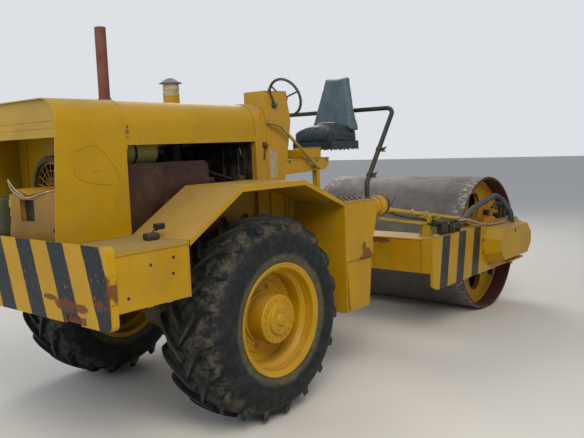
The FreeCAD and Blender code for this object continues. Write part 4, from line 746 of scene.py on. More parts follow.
class RollerWheels(bpy.types.PropertyGroup):
    lugs: IntProperty(name="Lugs", description="Lugs on each side of a tyre", default=19, min=8, max=40)
    lug_height: FloatProperty(name="Lug height", description="Height of a lug over the tyre", default=0.038,
                              unit="LENGTH")
    lug_sweep: FloatProperty(name="Lug sweep", description="How far a lug winds round the tyre",
                             default=math.radians(22), subtype="ANGLE")
    studs: IntProperty(name="Wheel bolts", description="Bolts that hold the wheel disc", default=10, min=4, max=20)


# ---------------------------------------------------------------- the pieces


class ROLLER_OT_finishes(bpy.types.Operator):
    """Make the finishes and give them to the CAD nodes"""

    bl_idname = "roller.finishes"
    bl_label = "Finishes"

    def execute(self, context):
        make_materials()
        for material, nodes in CAD_FINISH.items():
            for node in nodes:
                piece = frame["nodes"][node]
                piece.data.materials.clear()
                piece.data.materials.append(bpy.data.materials[material])
        return {"FINISHED"}


class ROLLER_OT_tyres(bpy.types.Operator):
    """Mould the two rear tyres with their slanted lugs"""

    bl_idname = "roller.tyres"
    bl_label = "Tyres"

    def execute(self, context):
        wheels = context.scene.roller_wheels
        top = AXLE.z
        crown = top - wheels.lug_height
        half = [(0.250, 0.386), (0.257, 0.398), (0.262, 0.414), (0.270, 0.436), (0.2765, 0.470), (0.2805, 0.515),
                (0.2795, 0.556), (0.272, 0.596), (0.258, 0.630), (0.236, 0.656), (0.205, 0.676),
                (0.163, 0.692), (0.11, 0.703), (0.0, crown)]
        profile = half + [(-w, r) for w, r in half[-2::-1]] + [half[0]]
        tyre = lathe("tyre_carcass", profile, "Y", AXLE, steps=96, angle=40)
        # Stations along a lug: place across, share of the sweep, foot and top half widths, foot and top radius
        stations = [(-0.008, 1.00, 0.021, 0.015, crown - 0.012, top - 0.004),
                    (0.035, 0.83, 0.024, 0.018, crown - 0.014, top - 0.001),
                    (0.080, 0.62, 0.026, 0.019, crown - 0.018, top - 0.001),
                    (0.125, 0.40, 0.028, 0.021, crown - 0.026, top - 0.003),
                    (0.168, 0.20, 0.030, 0.022, 0.672, top - 0.007),
                    (0.203, 0.07, 0.033, 0.025, 0.652, top - 0.016),
                    (0.226, 0.01, 0.036, 0.027, 0.632, top - 0.036),
                    (0.246, 0.00, 0.036, 0.022, 0.608, top - 0.085)]

        def corners(station):
            w, turn, foot, tip, low, high = station
            made = []
            for radius, side in ((low, foot), (high, tip), (high, -tip), (low, -foot)):
                angle = turn * wheels.lug_sweep + side / radius
                made.append(AXLE + Vector((radius * math.cos(angle), w, radius * math.sin(angle))))
            return made

        sections = [corners(s) for s in stations]
        lug = trace("lug", sections[0], closed=True)
        for before, after in zip(sections, sections[1:]):
            bpy.ops.mesh.extrude_region_move(TRANSFORM_OT_translate={"value": (0, 0, 0)})
            leave_edit()
            fresh = [v for v in lug.data.vertices if v.select]
            for vertex in fresh:
                nearest = min(range(4), key=lambda i: (vertex.co - before[i]).length)
                vertex.co = after[nearest]
            bpy.ops.object.mode_set(mode="EDIT")
        leave_edit()
        clean(lug)
        soften(lug, 0.006, 2, 25)
        turn = math.pi / wheels.lugs
        there, back = Matrix.Translation(AXLE), Matrix.Translation(-AXLE)
        other = again(lug, [there @ Matrix.Rotation(turn, 4, "Y") @ FLIP @ back])[0]
        lugs = round_about(join("lugs", lug, other), "Y", AXLE, wheels.lugs)
        smooth(lugs, 40)
        tyre = join("tyre", tyre, lugs)
        for side, place in (("right", 0.0), ("left", -2 * AXLE.y)):
            copy = again(tyre, [Matrix.Translation((0, place, 0))])[0]
            copy.name = copy.data.name = "lugged_tyre_" + side
            dress(copy, "moulded_tyre_rubber", "wheel_" + side, "tyre_rubber", "tyre_" + side)
        bpy.data.objects.remove(tyre)
        return {"FINISHED"}


class ROLLER_OT_rims(bpy.types.Operator):
    """Press the two rims, turn the two hubs and bolt them together"""

    bl_idname = "roller.rims"
    bl_label = "Rims and hubs"

    def execute(self, context):
        studs = context.scene.roller_wheels.studs
        # Distance outwards from the tyre's middle, radius: inner lip, seat, well, disc and on to the outer lip
        rim = [(-0.262, 0.411), (-0.272, 0.409), (-0.270, 0.396), (-0.262, 0.372), (-0.190, 0.361),
               (-0.170, 0.328), (-0.150, 0.326), (0.044, 0.326), (0.045, 0.181), (0.061, 0.181),
               (0.061, 0.262), (0.054, 0.272), (0.054, 0.300), (0.061, 0.314), (0.061, 0.326), (0.140, 0.327),
               (0.156, 0.332), (0.178, 0.356), (0.186, 0.361), (0.200, 0.361), (0.208, 0.366), (0.252, 0.370),
               (0.262, 0.382), (0.266, 0.398), (0.272, 0.404), (0.270, 0.411), (0.262, 0.4115), (0.258, 0.404),
               (0.2575, 0.3855), (0.190, 0.3785), (0.164, 0.341), (-0.164, 0.341), (-0.190, 0.3785),
               (-0.2575, 0.3855), (-0.258, 0.404), (-0.262, 0.411)]
        hub = [(-0.223, 0.0), (-0.223, 0.149), (0.012, 0.149), (0.015, 0.248), (0.043, 0.248), (0.045, 0.177),
               (0.061, 0.177), (0.063, 0.188), (0.076, 0.188), (0.082, 0.174), (0.178, 0.170), (0.181, 0.177),
               (0.222, 0.177), (0.229, 0.171), (0.231, 0.118), (0.236, 0.112), (0.250, 0.108), (0.255, 0.102),
               (0.256, 0.054), (0.252, 0.049), (0.261, 0.045), (0.269, 0.037), (0.271, 0.016), (0.276, 0.014),
               (0.276, 0.0)]
        for side, sign, y in (("right", -1, AXLE.y), ("left", 1, -AXLE.y)):
            place = Vector((AXLE.x, y, AXLE.z))
            rim_piece = lathe("pressed_rim_" + side, [(w * sign, r) for w, r in rim], "Y", place, 96, 0.002)
            hub_piece = lathe("planet_hub_" + side, [(w * sign, r) for w, r in hub], "Y", place, 64, 0.0015)
            facing = "-Y" if sign < 0 else "Y"
            stud = bolt("stud", 0.016, 0.020, place + Vector((0.222, sign * 0.060, 0)), facing)
            tip = lathe("tip", [(0, 0.009), (sign * 0.030, 0.009), (sign * 0.032, 0.007), (sign * 0.032, 0)], "Y",
                        place + Vector((0.222, sign * 0.060, 0)), 10)
            nuts = round_about(join("nuts", stud, tip), "Y", place, studs)
            covers = round_about(bolt("cover_bolt", 0.009, 0.009, place + Vector((0.147, sign * 0.228, 0)), facing),
                                 "Y", place, 18)
            small = round_about(bolt("cap_bolt", 0.007, 0.007, place + Vector((0.080, sign * 0.255, 0)), facing),
                                "Y", place, 6)
            join("pressed_rim_" + side, rim_piece, nuts)
            join("planet_hub_" + side, hub_piece, covers, small)
            dress(rim_piece, "yellow_wheel_enamel", "wheel_" + side, "yellow_paint", "rim_" + side)
            dress(hub_piece, "yellow_wheel_enamel", "wheel_" + side, "yellow_paint", "hub_" + side)
        return {"FINISHED"}


class ROLLER_OT_tail(bpy.types.Operator):
    """Make the bumper with its torn hole, the tanks and the rear deck"""

    bl_idname = "roller.tail"
    bl_label = "Tail"

    def execute(self, context):
        low, high, side, corner = 0.980, 1.465, 1.150, 0.045
        hole = [(-0.690, 0.980), (-0.684, 1.012), (-0.700, 1.034), (-0.742, 1.029), (-0.764, 1.041), (-0.806, 1.036),
                (-0.846, 1.040), (-0.862, 1.018), (-0.853, 0.980)]
        face = (arc((side - corner, high - corner), corner, 0, 90) + arc((corner - side, high - corner), corner, 90, 180)
                + arc((corner - side, low + corner), corner, 180, 270) + hole[::-1]
                + arc((side - corner, low + corner), corner, -90, 0))
        bumper = plate("bumper_face", "X", -1.400, -1.390, face, 0.0015)
        inner = corner - 0.010
        band = (arc((corner - side, high - corner), corner, 90, 180) + arc((corner - side, low + corner), corner, 180, 270)
                + arc((corner - side, low + corner), inner, 270, 180) + arc((corner - side, high - corner), inner, 180, 90))
        flange = plate("bumper_flange", "X", -1.3905, -1.342, band, 0.0012)
        bumper = join("notched_bumper", bumper, both_sides(flange))
        dress(bumper, "yellow_enamel_with_bumper_bands", "rear_frame", "yellow_paint", "bumper")

        hook = case("hook_plate", (-1.385, -1.345), (-0.850, -0.700), (0.984, 1.006), 0.004)
        hook = join("rusted_hook", hook, case("hook_web", (-1.386, -1.372), (-0.858, -0.690), (0.986, 1.060), 0.002),
                    bar("hook_pin", at(-1.372, -0.800, 1.022), at(-1.372, -0.730, 1.022), 0.014))
        dress(hook, "red_brown_primer", "rear_frame", "rusted_steel")

        tank = case("tank", (-1.388, -0.796), (-1.136, -0.362), (1.072, 1.420), 0.006)
        tank = join("tank", tank, case("tank_strip", (-0.800, -0.790), (-1.138, -0.362), (1.070, 1.420), 0.001),
                    case("tank_strap", (-1.13, -1.09), (-1.1375, -0.37), (1.0705, 1.078), 0.001),
                    case("tank_strap", (-0.98, -0.94), (-1.1375, -0.37), (1.0705, 1.078), 0.001))
        dress(both_sides(tank), "yellow_machine_enamel", "rear_frame", "yellow_paint", "tanks")
        spots = [(-0.919, 1.340), (-0.926, 1.243), (-1.091, 1.320), (-1.262, 1.151)]
        # The bolt holes are thin dark discs on the tank side: painted shade standing for the shaded insides of the
        # holes.
        holes = [lathe("bolt_hole", [(0, 0), (0, 0.009), (-0.0012, 0.010), (-0.0012, 0)], "Y", at(x, -1.1365, z), 14)
                 for x, z in spots]
        dress(both_sides(join("tank_bolt_holes", *holes)), "dark_radiator_core", "rear_frame", "dark_paint")

        deck = case("deck_sheet", (-1.388, -0.790), (-1.138, 1.138), (1.4205, 1.430), 0.002)
        edge = ribbon("deck_edge", "X", -1.386, -0.792, [(-1.100, 1.431), (-1.140, 1.431), (-1.1405, 1.404)], 0.003, 0)
        corner_sheet = plate("deck_corner", "Z", 1.430, 1.434, [(-1.385, -1.136), (-1.385, -0.900), (-1.290, -0.960),
                                                                 (-1.215, -1.136)], 0.001)
        deck = join("dusty_deck", deck, both_sides(join("deck_edge", edge, corner_sheet)))
        dress(deck, "dusty_deck_enamel", "rear_frame", "yellow_paint", "rear_deck")

        boot = case("clip_body", (-0.950, -0.862), (-0.955, -0.885), (1.434, 1.476), 0.010)
        upper = case("clip_top", (-0.860, -0.796), (-0.930, -0.880), (1.488, 1.528), 0.008)
        lead = hose("clip_lead", [at(-0.900, -0.920, 1.470), at(-0.890, -0.930, 1.500), at(-0.860, -0.915, 1.480),
                                  at(-0.832, -0.905, 1.500)], 0.006, True, 4)
        dress(join("battery_clips", boot, upper, lead), "black_moulded_plastic", "rear_frame", "black_plastic")
        return {"FINISHED"}


FOLD = [(-0.790, 1.4255), (-0.300, 1.7225), (0.367, 1.7225), (0.861, 1.5155)]


class ROLLER_OT_fenders(bpy.types.Operator):
    """Fold the fenders over the wheels, with the walls beside the engine"""

    bl_idname = "roller.fenders"
    bl_label = "Fenders"

    def execute(self, context):
        flat_end = (0.430, 1.6964)
        inner = FOLD[:3] + [flat_end]
        sheet = ribbon("fender_top", "Y", -1.1495, -0.608, FOLD, 0.009)
        strip = ribbon("fender_strip", "Y", -0.608, -0.573, inner, 0.009, 0)
        edge = [(x, z + 0.0045) for x, z in FOLD] + [(x, z - 0.0335) for x, z in FOLD[::-1]]
        band = plate("fender_band", "Y", -1.150, -1.143, edge, 0.002)
        wall = plate("fender_wall", "Y", -0.580, -0.572, inner + [(0.430, 1.100), (-0.790, 1.100)], 0)
        front = plate("front_wall_piece", "Y", -0.616, -0.608, [flat_end, FOLD[3], (0.861, 1.100), (0.430, 1.100)], 0)
        shelf = case("shelf", (0.422, 0.430), (-0.616, -0.572), (1.100, 1.690), 0)
        gusset = case("gusset", (0.300, 0.312), (-1.140, -0.580), (1.690, 1.716), 0.002)
        ribs = [case("wall_rib", (x, x + 0.012), (-0.630, -0.616), (1.12, z), 0.002)
                for x, z in ((0.560, 1.620), (0.742, 1.540), (0.786, 1.520), (0.808, 1.510))]
        weld = bar("weld", at(-0.300, -1.140, 1.7275), at(-0.300, -0.610, 1.7275), 0.003, 3)
        fender = join("folded_fender_right", sheet, strip, band, wall, front, shelf, gusset, weld, *ribs)
        left = again(fender, [FLIP])[0]
        left.name = left.data.name = "folded_fender_left"
        for side, piece in (("right", fender), ("left", left)):
            dress(piece, "yellow_fender_enamel", "rear_frame", "yellow_paint", "fender_" + side)
        return {"FINISHED"}


class ROLLER_OT_platform(bpy.types.Operator):
    """Make the driver's platform, the wall before the wheels, the steps and the lamps"""

    bl_idname = "roller.platform"
    bl_label = "Platform, steps and lamps"

    def execute(self, context):
        floor = [(0.552, -0.608), (0.861, -0.608), (0.861, -1.150), (1.270, -1.150), (1.270, 1.150), (0.861, 1.150),
                 (0.861, 0.608), (0.552, 0.608)]
        deck = plate("platform_sheet", "Z", 1.500, 1.518, floor, 0.002)
        stud = case("stud", (0.888, 0.914), (-1.120, -1.108), (1.518, 1.526), 0)
        studs = [Matrix.Translation((0.062 * i, 0.057 * j, 0)) for i in range(6) for j in range(40)]
        pads = join("tread_studs", *again(stud, studs))
        bpy.data.objects.remove(stud)
        dress(pads, "oily_chassis_enamel", "rear_frame", "dark_paint")
        platform = join("tread_platform", deck)
        dress(platform, "dusty_platform_enamel", "rear_frame", "yellow_paint", "platform")

        wall = plate("wall", "X", 0.861, 0.871, [(-1.150, 0.600), (-0.360, 0.600), (-0.360, 1.100), (0.360, 1.100),
                                                 (0.360, 0.600), (1.150, 0.600), (1.150, 1.500), (-1.150, 1.500)], 0.002)
        dress(join("front_wall_sheet", wall), "yellow_machine_enamel", "rear_frame", "yellow_paint", "front_wall")

        box = case("step_box", (0.871, 1.270), (-1.150, -0.700), (1.030, 1.499), 0.005)
        leg = plate("step_leg", "Y", -1.150, -0.960, [(0.890, 1.040), (1.262, 1.040), (1.210, 0.600), (0.931, 0.600)], 0.003)
        leg.data.transform(Matrix.Translation((0, 0.012, 0)))
        lip = case("step_lip", (0.870, 1.271), (-1.1525, -1.130), (1.026, 1.034), 0.002)
        bracket = plate("lamp_bracket", "Y", -1.146, -1.139, [(1.268, 1.490), (1.350, 1.490), (1.345, 1.400), (1.292, 1.200),
                                                              (1.268, 1.200)], 0.002)
        seam = case("box_seam", (0.864, 0.872), (-1.152, -1.140), (0.600, 1.500), 0.002)
        steps = both_sides(join("step_boxes_bent", box, leg, lip, seam, bracket))
        dress(steps, "yellow_enamel_with_rusted_step", "rear_frame", "yellow_paint", "step_boxes")

        middle = at(0, -1.078, 1.435)
        shell = lathe("lamp_shell", [(1.270, 0), (1.270, 0.035), (1.300, 0.050), (1.360, 0.070), (1.440, 0.084),
                                     (1.447, 0.090), (1.512, 0.090), (1.515, 0.087), (1.510, 0.083), (1.490, 0.081),
                                     (1.485, 0.0)], "X", middle, 40, 0.001)
        glass = lathe("lamp_glass", [(1.486, 0.0805), (1.500, 0.070), (1.506, 0.040), (1.507, 0)], "X", middle, 40)
        straps = [lathe("lamp_strap", [(x, 0.0725 + n * 0.011), (x + 0.012, 0.0755 + n * 0.011), (x + 0.012, 0.060)], "X",
                        middle, 40) for n, x in enumerate((1.345, 1.405))]
        dress(both_sides(join("lamp_shells", shell, *straps)), "yellow_machine_enamel", "rear_frame", "yellow_paint",
              "work_lamps")
        rim = lathe("lamp_rim", [(1.488, 0.0905), (1.488, 0.0950), (1.516, 0.0950), (1.519, 0.088), (1.515, 0.0790), (1.502, 0.0780)],
                    "X", middle, 40)
        dress(both_sides(join("lamp_rims", rim)), "red_brown_primer", "rear_frame", "rusted_steel")
        dress(both_sides(join("lamp_glasses", glass)), "lamp_bulb_glass", "rear_frame", "bare_steel")
        return {"FINISHED"}


def hood_line(half, top, radius, low):
    """The line of an arched hood across the machine."""
    return ([(-half, low)] + arc((radius - half, top - radius), radius, 180, 90, 8)
            + arc((half - radius, top - radius), radius, 90, 0, 8) + [(half, low)])


class ROLLER_OT_hoods(bpy.types.Operator):
    """Bend the two hoods and the cowl, with their seams, hinges and scratches"""

    bl_idname = "roller.hoods"
    bl_label = "Hoods"

    def execute(self, context):
        rear = ribbon("rear_arch", "X", -1.380, -0.820, hood_line(0.604, 2.331, 0.166, 1.430), 0.008, 0)
        cut_off(rear, at(-1.380, 0, 1.430), (-0.905, 0, 0.065))
        soften(rear, 0.0015, 2, 50)
        smooth(rear, 40)
        fascia = plate("fascia", "X", -1.295, -1.291, hood_line(0.601, 2.328, 0.164, 2.090), 0.001, 40)
        creases = [case("fascia_crease", (-1.2975, -1.294), (-0.598, 0.598), (z, z + 0.004), 0.001) for z in (2.146, 2.190)]
        fold_in = case("fascia_fold", (-1.294, -1.268), (-0.598, 0.598), (2.090, 2.094), 0.001)
        seam = ribbon("hood_seam_band", "X", -0.832, -0.812, hood_line(0.6085, 2.3355, 0.1705, 2.000), 0.003, 0.001)
        skirt = case("hood_foot", (-1.376, -0.824), (-0.6115, -0.600), (1.4305, 1.4440), 0.002)
        hinge = case("hood_hinge", (-0.826, -0.796), (-0.6135, -0.604), (2.086, 2.128), 0.002)
        heads = bolts("hood_bolts", 0.011, 0.010, "-Y", [at(-0.812, -0.610, 2.118)])
        # A small dark disc on each side of the hood: painted shade standing for the shaded inside of a hole.
        dark = lathe("hood_hole", [(0, 0), (0, 0.008), (-0.0012, 0.008), (-0.0012, 0)], "Y", at(-0.806, -0.6085, 2.150), 12)
        rear = join("rear_arch_hood", rear, fascia, *creases, fold_in, seam, both_sides(skirt), both_sides(hinge))
        dress(rear, "yellow_hood_enamel", "rear_frame", "yellow_paint", "rear_hood")
        dress(join("hood_side_bolts", both_sides(heads)), "zinc_bolt_steel", "rear_frame", "bare_steel")

        front = ribbon("front_arch", "X", -0.820, 0.430, hood_line(0.598, 2.325, 0.166, 2.030), 0.008, 0)
        soften(front, 0.0015, 2, 50)
        smooth(front, 40)
        for place, radius in ((-0.540, 0.043), (0.100, 0.068)):
            drill(front, lathe("roof_tool", [(2.2, 0), (2.2, radius), (2.45, radius), (2.45, 0)], "Z",
                               at(place, 0, 0), 40))
        lip = ribbon("front_lip", "X", -0.820, 0.430, [(-0.6040, 2.071), (-0.6045, 2.031), (-0.585, 2.0315)], 0.004, 0.001)
        collar = lathe("exhaust_collar", [(2.3295, 0.047), (2.3295, 0.060), (2.334, 0.060), (2.338, 0.050), (2.338, 0.047)],
                       "Z", at(-0.540, 0, 0), 32)
        ring = lathe("intake_collar", [(2.3295, 0.0665), (2.3295, 0.084), (2.334, 0.084), (2.336, 0.0665)], "Z",
                     at(0.100, 0, 0), 40)
        front = join("front_arch_hood", front, both_sides(lip), collar, ring)
        dress(front, "yellow_hood_enamel", "rear_frame", "yellow_paint", "front_hood")

        scratches = []
        for points in ([(-1.215, 1.905), (-1.216, 1.850), (-1.190, 1.828), (-1.120, 1.800), (-1.040, 1.785), (-0.985, 1.777),
                        (-0.950, 1.782)],
                       [(-1.205, 1.998), (-1.150, 2.010), (-1.100, 2.035), (-1.060, 2.030), (-1.000, 1.990), (-0.950, 1.930),
                        (-0.905, 1.860), (-0.885, 1.800)],
                       [(-1.090, 1.872), (-1.050, 1.868), (-1.020, 1.872)]):
            scratches.append(hose("scratch", [at(x, -0.6078, z) for x, z in points], 0.0011, True, 2))
        # The dark scratches are real marks on the paint; the hole discs joined to them are painted shade.
        dress(join("hood_scratches", both_sides(dark), *scratches), "dark_radiator_core", "rear_frame", "dark_paint")

        line = hood_line(0.608, 2.335, 0.170, 1.110)
        cowl = plate("cowl_block", "X", 0.430, 0.552, line, 0.005, 40)
        post = case("cowl_edge", (0.424, 0.446), (-0.6125, -0.600), (1.735, 2.030), 0.002)
        hinge = bar("cowl_hinge", at(0.505, -0.6085, 2.100), at(0.505, -0.6085, 2.262), 0.005, 4)
        cowl = join("arched_cowl", cowl, both_sides(join("cowl_fittings", post, hinge)))
        dress(cowl, "dusty_console_enamel", "rear_frame", "yellow_paint", "cowl")
        latch = case("latch_plate", (0.508, 0.556), (-0.6130, -0.606), (1.975, 2.022), 0.003)
        knob = lathe("latch_knob", [(0, 0), (0, 0.019), (-0.016, 0.021), (-0.024, 0.014), (-0.026, 0)], "Y",
                     at(0.532, -0.614, 1.994), 20, 0.001)
        keeper = bar("latch_bar", at(0.528, -0.616, 1.975), at(0.515, -0.616, 1.880), 0.006, 4)
        dress(both_sides(join("cowl_latches", latch, knob, keeper)), "red_brown_primer", "rear_frame", "rusted_steel")
        return {"FINISHED"}


class ROLLER_OT_fan(bpy.types.Operator):
    """Make the wall in the hood with the fan's ring, its wire guard and its blades"""

    bl_idname = "roller.fan"
    bl_label = "Fan"

    def execute(self, context):
        place = at(0, 0.040, 1.745)
        wall = plate("fan_panel", "X", -0.920, -0.911, hood_line(0.598, 2.190, 0.060, 1.431), 0.001)
        drill(wall, lathe("fan_tool", [(-0.95, 0), (-0.95, 0.200), (-0.89, 0.200), (-0.89, 0)], "X", place, 64))
        frame_bar = [case("panel_rib", (-0.926, -0.919), (y, y + 0.030), (1.44, 2.10), 0.002) for y in (0.480, -0.510)]
        guard = [lathe("guard_ring", [(-1.000, 0.180), (-0.996, 0.190), (-0.980, 0.190), (-0.980, 0.180)], "X", place, 64, 0.001)]
        wire = bar("spoke", at(-0.992, 0.040, 1.772), at(-0.996, 0.040, 1.930), 0.0035, 3)
        guard.append(round_about(wire, "X", place, 18))
        for radius in (0.075, 0.130):
            guard.append(lathe("guard_wire", [(-0.9985, radius), (-0.995, radius + 0.0035), (-0.9915, radius),
                                              (-0.995, radius - 0.0035), (-0.9985, radius)], "X", place, 48))
        yellow = join("fan_panel_and_guard", wall, *frame_bar, *guard)
        dress(yellow, "yellow_machine_enamel", "rear_frame", "yellow_paint", "fan_wall")
        ring = lathe("shroud_ring", [(-0.920, 0.200), (-0.925, 0.192), (-1.005, 0.191), (-1.018, 0.197), (-1.020, 0.205),
                                     (-1.016, 0.226), (-1.006, 0.2335), (-0.925, 0.235), (-0.920, 0.235)], "X", place, 72, 0.001)
        dress(join("fan_shroud", ring), "weathered_shroud_rubber", "rear_frame", "black_plastic")
        blade = plate("blade", "X", -0.952, -0.949, [(0.040 - 0.030, 1.775), (0.040 + 0.022, 1.775), (0.040 + 0.050, 1.915),
                                                     (0.040 - 0.040, 1.920)], 0.001)
        blades = round_about(blade, "X", place, 6)
        hub = lathe("fan_hub", [(-1.004, 0), (-1.004, 0.022), (-0.998, 0.030), (-0.985, 0.034), (-0.940, 0.040), (-0.940, 0)],
                    "X", place, 28, 0.001)
        core = case("radiator", (-0.908, -0.850), (-0.500, 0.520), (1.45, 2.05), 0.004)
        fin = case("fin", (-0.911, -0.908), (-0.500, 0.520), (1.462, 1.465), 0)
        dress(join("fan_and_core", blades, hub, core, shifted(fin, *[(0, 0, 0.016 * n) for n in range(1, 36)])),
              "dark_radiator_core", "rear_frame", "dark_paint")
        return {"FINISHED"}


class ROLLER_OT_engine(bpy.types.Operator):
    """Fill the open engine bay: engine, side cover, air cleaner, exhaust and intake"""

    bl_idname = "roller.engine"
    bl_label = "Engine bay"

    def execute(self, context):
        block_piece = case("crankcase", (-0.598, 0.298), (-0.240, 0.240), (1.120, 1.640), 0.012)
        parts = [case("sump", (-0.520, 0.220), (-0.180, 0.180), (1.112, 1.190), 0.020)]
        for n in range(6):
            x = -0.560 + n * 0.140
            parts.append(case("head", (x, x + 0.118), (-0.210, 0.210), (1.640, 1.800), 0.010))
            parts.append(case("rocker_cover", (x + 0.010, x + 0.108), (-0.150, 0.150), (1.800, 1.878), 0.020))
            for m in range(4):
                parts.append(case("cylinder_fin", (x - 0.004, x + 0.122), (-0.222, 0.222),
                                  (1.655 + m * 0.034, 1.661 + m * 0.034), 0.001))
        for side in (-1, 1):
            parts.append(bar("manifold", at(-0.560, side * 0.262, 1.720), at(0.260, side * 0.262, 1.720), 0.034, 6))
            for n in range(6):
                x = -0.500 + n * 0.140
                parts.append(bar("port", at(x, side * 0.200, 1.735), at(x, side * 0.262, 1.720), 0.020, 4))
            parts.append(case("engine_foot", (-0.420, -0.300), sorted((side * 0.240, side * 0.298)), (1.112, 1.200), 0.008))
            parts.append(case("engine_foot", (0.120, 0.240), sorted((side * 0.240, side * 0.298)), (1.112, 1.200), 0.008))
        parts.append(lathe("flywheel_case", [(0.220, 0), (0.220, 0.270), (0.280, 0.270), (0.298, 0.250), (0.298, 0)], "X",
                           at(0, 0, 1.400), 48, 0.004))
        parts.append(lathe("crank_pulley", [(-0.600, 0), (-0.600, 0.110), (-0.592, 0.118), (-0.580, 0.104), (-0.568, 0.118),
                                            (-0.560, 0.110), (-0.560, 0)], "X", at(0, 0, 1.300), 32))
        parts.append(lathe("starter", [(0.020, 0), (0.020, 0.058), (0.200, 0.058), (0.210, 0.046), (0.226, 0.046), (0.226, 0)],
                           "X", at(0, -0.238, 1.300), 24, 0.002))
        parts.append(lathe("oil_filter", [(1.250, 0), (1.250, 0.042), (1.262, 0.050), (1.400, 0.050), (1.410, 0.044),
                                          (1.410, 0)], "Z", at(-0.050, -0.238, 0), 24, 0.002))
        dress(join("engine", block_piece, *parts), "engine_iron_enamel", "rear_frame", "engine_iron", "engine_block")

        outline = [(-0.780, 1.402), (0.020, 1.402)] + arc((0.010, 1.452), 0.050, -90, 0, 4)[1:] + \
            [(0.060, 1.640)] + arc((-0.005, 1.835), 0.065, 5, 90, 5) + [(-0.780, 1.900)]
        cover = plate("side_cover", "Y", -0.450, -0.304, outline, 0.014, 45)
        fold = case("cover_fold", (-0.778, 0.000), (-0.4535, -0.448), (1.862, 1.872), 0.002)
        heads = bolts("cover_bolts", 0.010, 0.008, "-Y", [at(x, -0.450, 1.430) for x in (-0.70, -0.45, -0.20)])
        dress(join("maroon_side_cover", cover, fold, heads), "maroon_engine_enamel", "rear_frame", "maroon_paint",
              "engine_cover")

        middle = at(0, -0.230, 1.980)
        dome = [(-0.330 - 0.052 * (1 - math.cos(math.radians(a))), 0.098 * math.cos(math.radians(a)))
                for a in range(0, 91, 15)]
        drum = lathe("air_drum", [(-0.330, 0.0), (-0.330, 0.060), (-0.334, 0.096), (-0.340, 0.098), (-0.470, 0.098),
                                  (-0.472, 0.0995), (-0.482, 0.0995), (-0.484, 0.098), (-0.560, 0.098),
                                  (-0.585, 0.094), (-0.604, 0.080), (-0.616, 0.052), (-0.620, 0.0)], "X", middle, 48, 0.001)
        dress(join("air_cleaner_drum", drum), "green_drum_enamel", "rear_frame", "green_paint", "air_cleaner")
        strap = lathe("strap", [(-0.540, 0.0985), (-0.540, 0.100), (-0.522, 0.100), (-0.522, 0.0985), (-0.540, 0.0985)],
                      "X", middle, 48)
        screw = bar("strap_screw", at(-0.531, -0.335, 1.930), at(-0.531, -0.335, 1.975), 0.006, 4)
        elbow = hose("air_elbow", bends([at(-0.340, -0.230, 1.980), at(-0.240, -0.230, 1.980), at(-0.180, -0.180, 1.900),
                                         at(-0.180, -0.150, 1.850)], 0.06), 0.042, False, 6)
        belt = [hose("fan_belt", [at(-0.590, 0.108, 1.300), at(-0.590, 0.060, 1.760), at(-0.590, -0.030, 1.760),
                                  at(-0.590, -0.108, 1.300), at(-0.590, 0.0, 1.196), at(-0.590, 0.108, 1.300)], 0.007, True, 3)]
        wires = [hose("loom", [at(-0.60, -0.16, 1.88), at(-0.30, -0.20, 1.905), at(0.05, -0.14, 1.90), at(0.20, -0.28, 1.80),
                               at(0.42, -0.36, 1.72)], 0.011, True, 3),
                 hose("loom", [at(-0.20, 0.16, 1.88), at(0.10, 0.24, 1.86), at(0.30, 0.30, 1.70), at(0.425, 0.30, 1.60)], 0.010, True, 3)]
        ducts = [hose("rubber_duct", [at(-0.300, y, z - 0.03), at(-0.100, y, z), at(0.200, y, z), at(0.418, y * 1.1, z - 0.02)],
                      0.048, True, 6) for y, z in ((0.120, 1.945), (0.250, 1.975))]
        screen = case("bay_screen", (0.418, 0.429), (-0.560, 0.560), (1.120, 2.060), 0.002)
        rows = case("pipe_clips", (0.395, 0.425), (-0.50, -0.10), (1.30, 1.98), 0.004)
        pipes = [bar("bay_pipe", at(0.39, y, 1.115), at(0.39, y, 1.98), 0.012, 4) for y in (-0.44, -0.27, 0.18)]
        dress(join("bay_hoses", strap, screw, elbow, screen, rows, *ducts, *belt, *wires, *pipes), "black_moulded_plastic", "rear_frame",
              "black_plastic")
        pale = [hose("pale_pipe", [at(0.380, -0.470, 1.985), at(0.400, -0.468, 1.930), at(0.418, -0.462, 1.860),
                                   at(0.420, -0.458, 1.800), at(0.424, -0.458, 1.720)], 0.006, True, 4),
                case("rag", (-0.440, -0.380), (-0.262, -0.205), (2.079, 2.086), 0.003)]
        dress(join("bay_pale_pipe", *pale), "pale_blank_plate", "rear_frame", "bare_steel")
        tank = lathe("red_tank", [(1.125, 0), (1.125, 0.085), (1.150, 0.100), (1.850, 0.100), (1.880, 0.085), (1.885, 0)], "Z",
                     at(0.20, 0.40, 0), 28, 0.002)
        side = case("red_panel", (0.330, 0.380), (-0.520, -0.470), (1.120, 1.760), 0.006)
        dress(join("bay_red_parts", tank, side), "red_brown_primer", "rear_frame", "rusted_steel")
        floor = case("bay_floor", (-0.789, 0.860), (-0.572, 0.572), (1.1005, 1.110), 0)
        dress(join("oily_floor", floor), "oily_chassis_enamel", "rear_frame", "dark_paint", "engine_floor")

        exhaust = at(-0.540, 0, 0)
        pipe = lathe("exhaust", [(2.700, 0), (2.700, 0.0365), (2.898, 0.0365), (2.900, 0.0385), (2.898, 0.041), (1.960, 0.041),
                                 (1.956, 0.055), (1.940, 0.055), (1.936, 0.041), (1.881, 0.041), (1.881, 0)], "Z", exhaust, 40)
        weld = bar("pipe_seam", at(-0.540, -0.0408, 1.97), at(-0.540, -0.0408, 2.88), 0.002, 2)
        clamp = lathe("exhaust_clamp", [(2.360, 0.0415), (2.360, 0.0470), (2.385, 0.0470), (2.385, 0.0415)], "Z", exhaust, 32)
        ear = case("clamp_ear", (-0.546, -0.534), (-0.075, -0.045), (2.360, 2.385), 0.002)
        dress(join("rusted_exhaust", pipe, weld, clamp, ear), "rusted_exhaust_steel", "rear_frame", "rusted_steel",
              "exhaust_pipe")
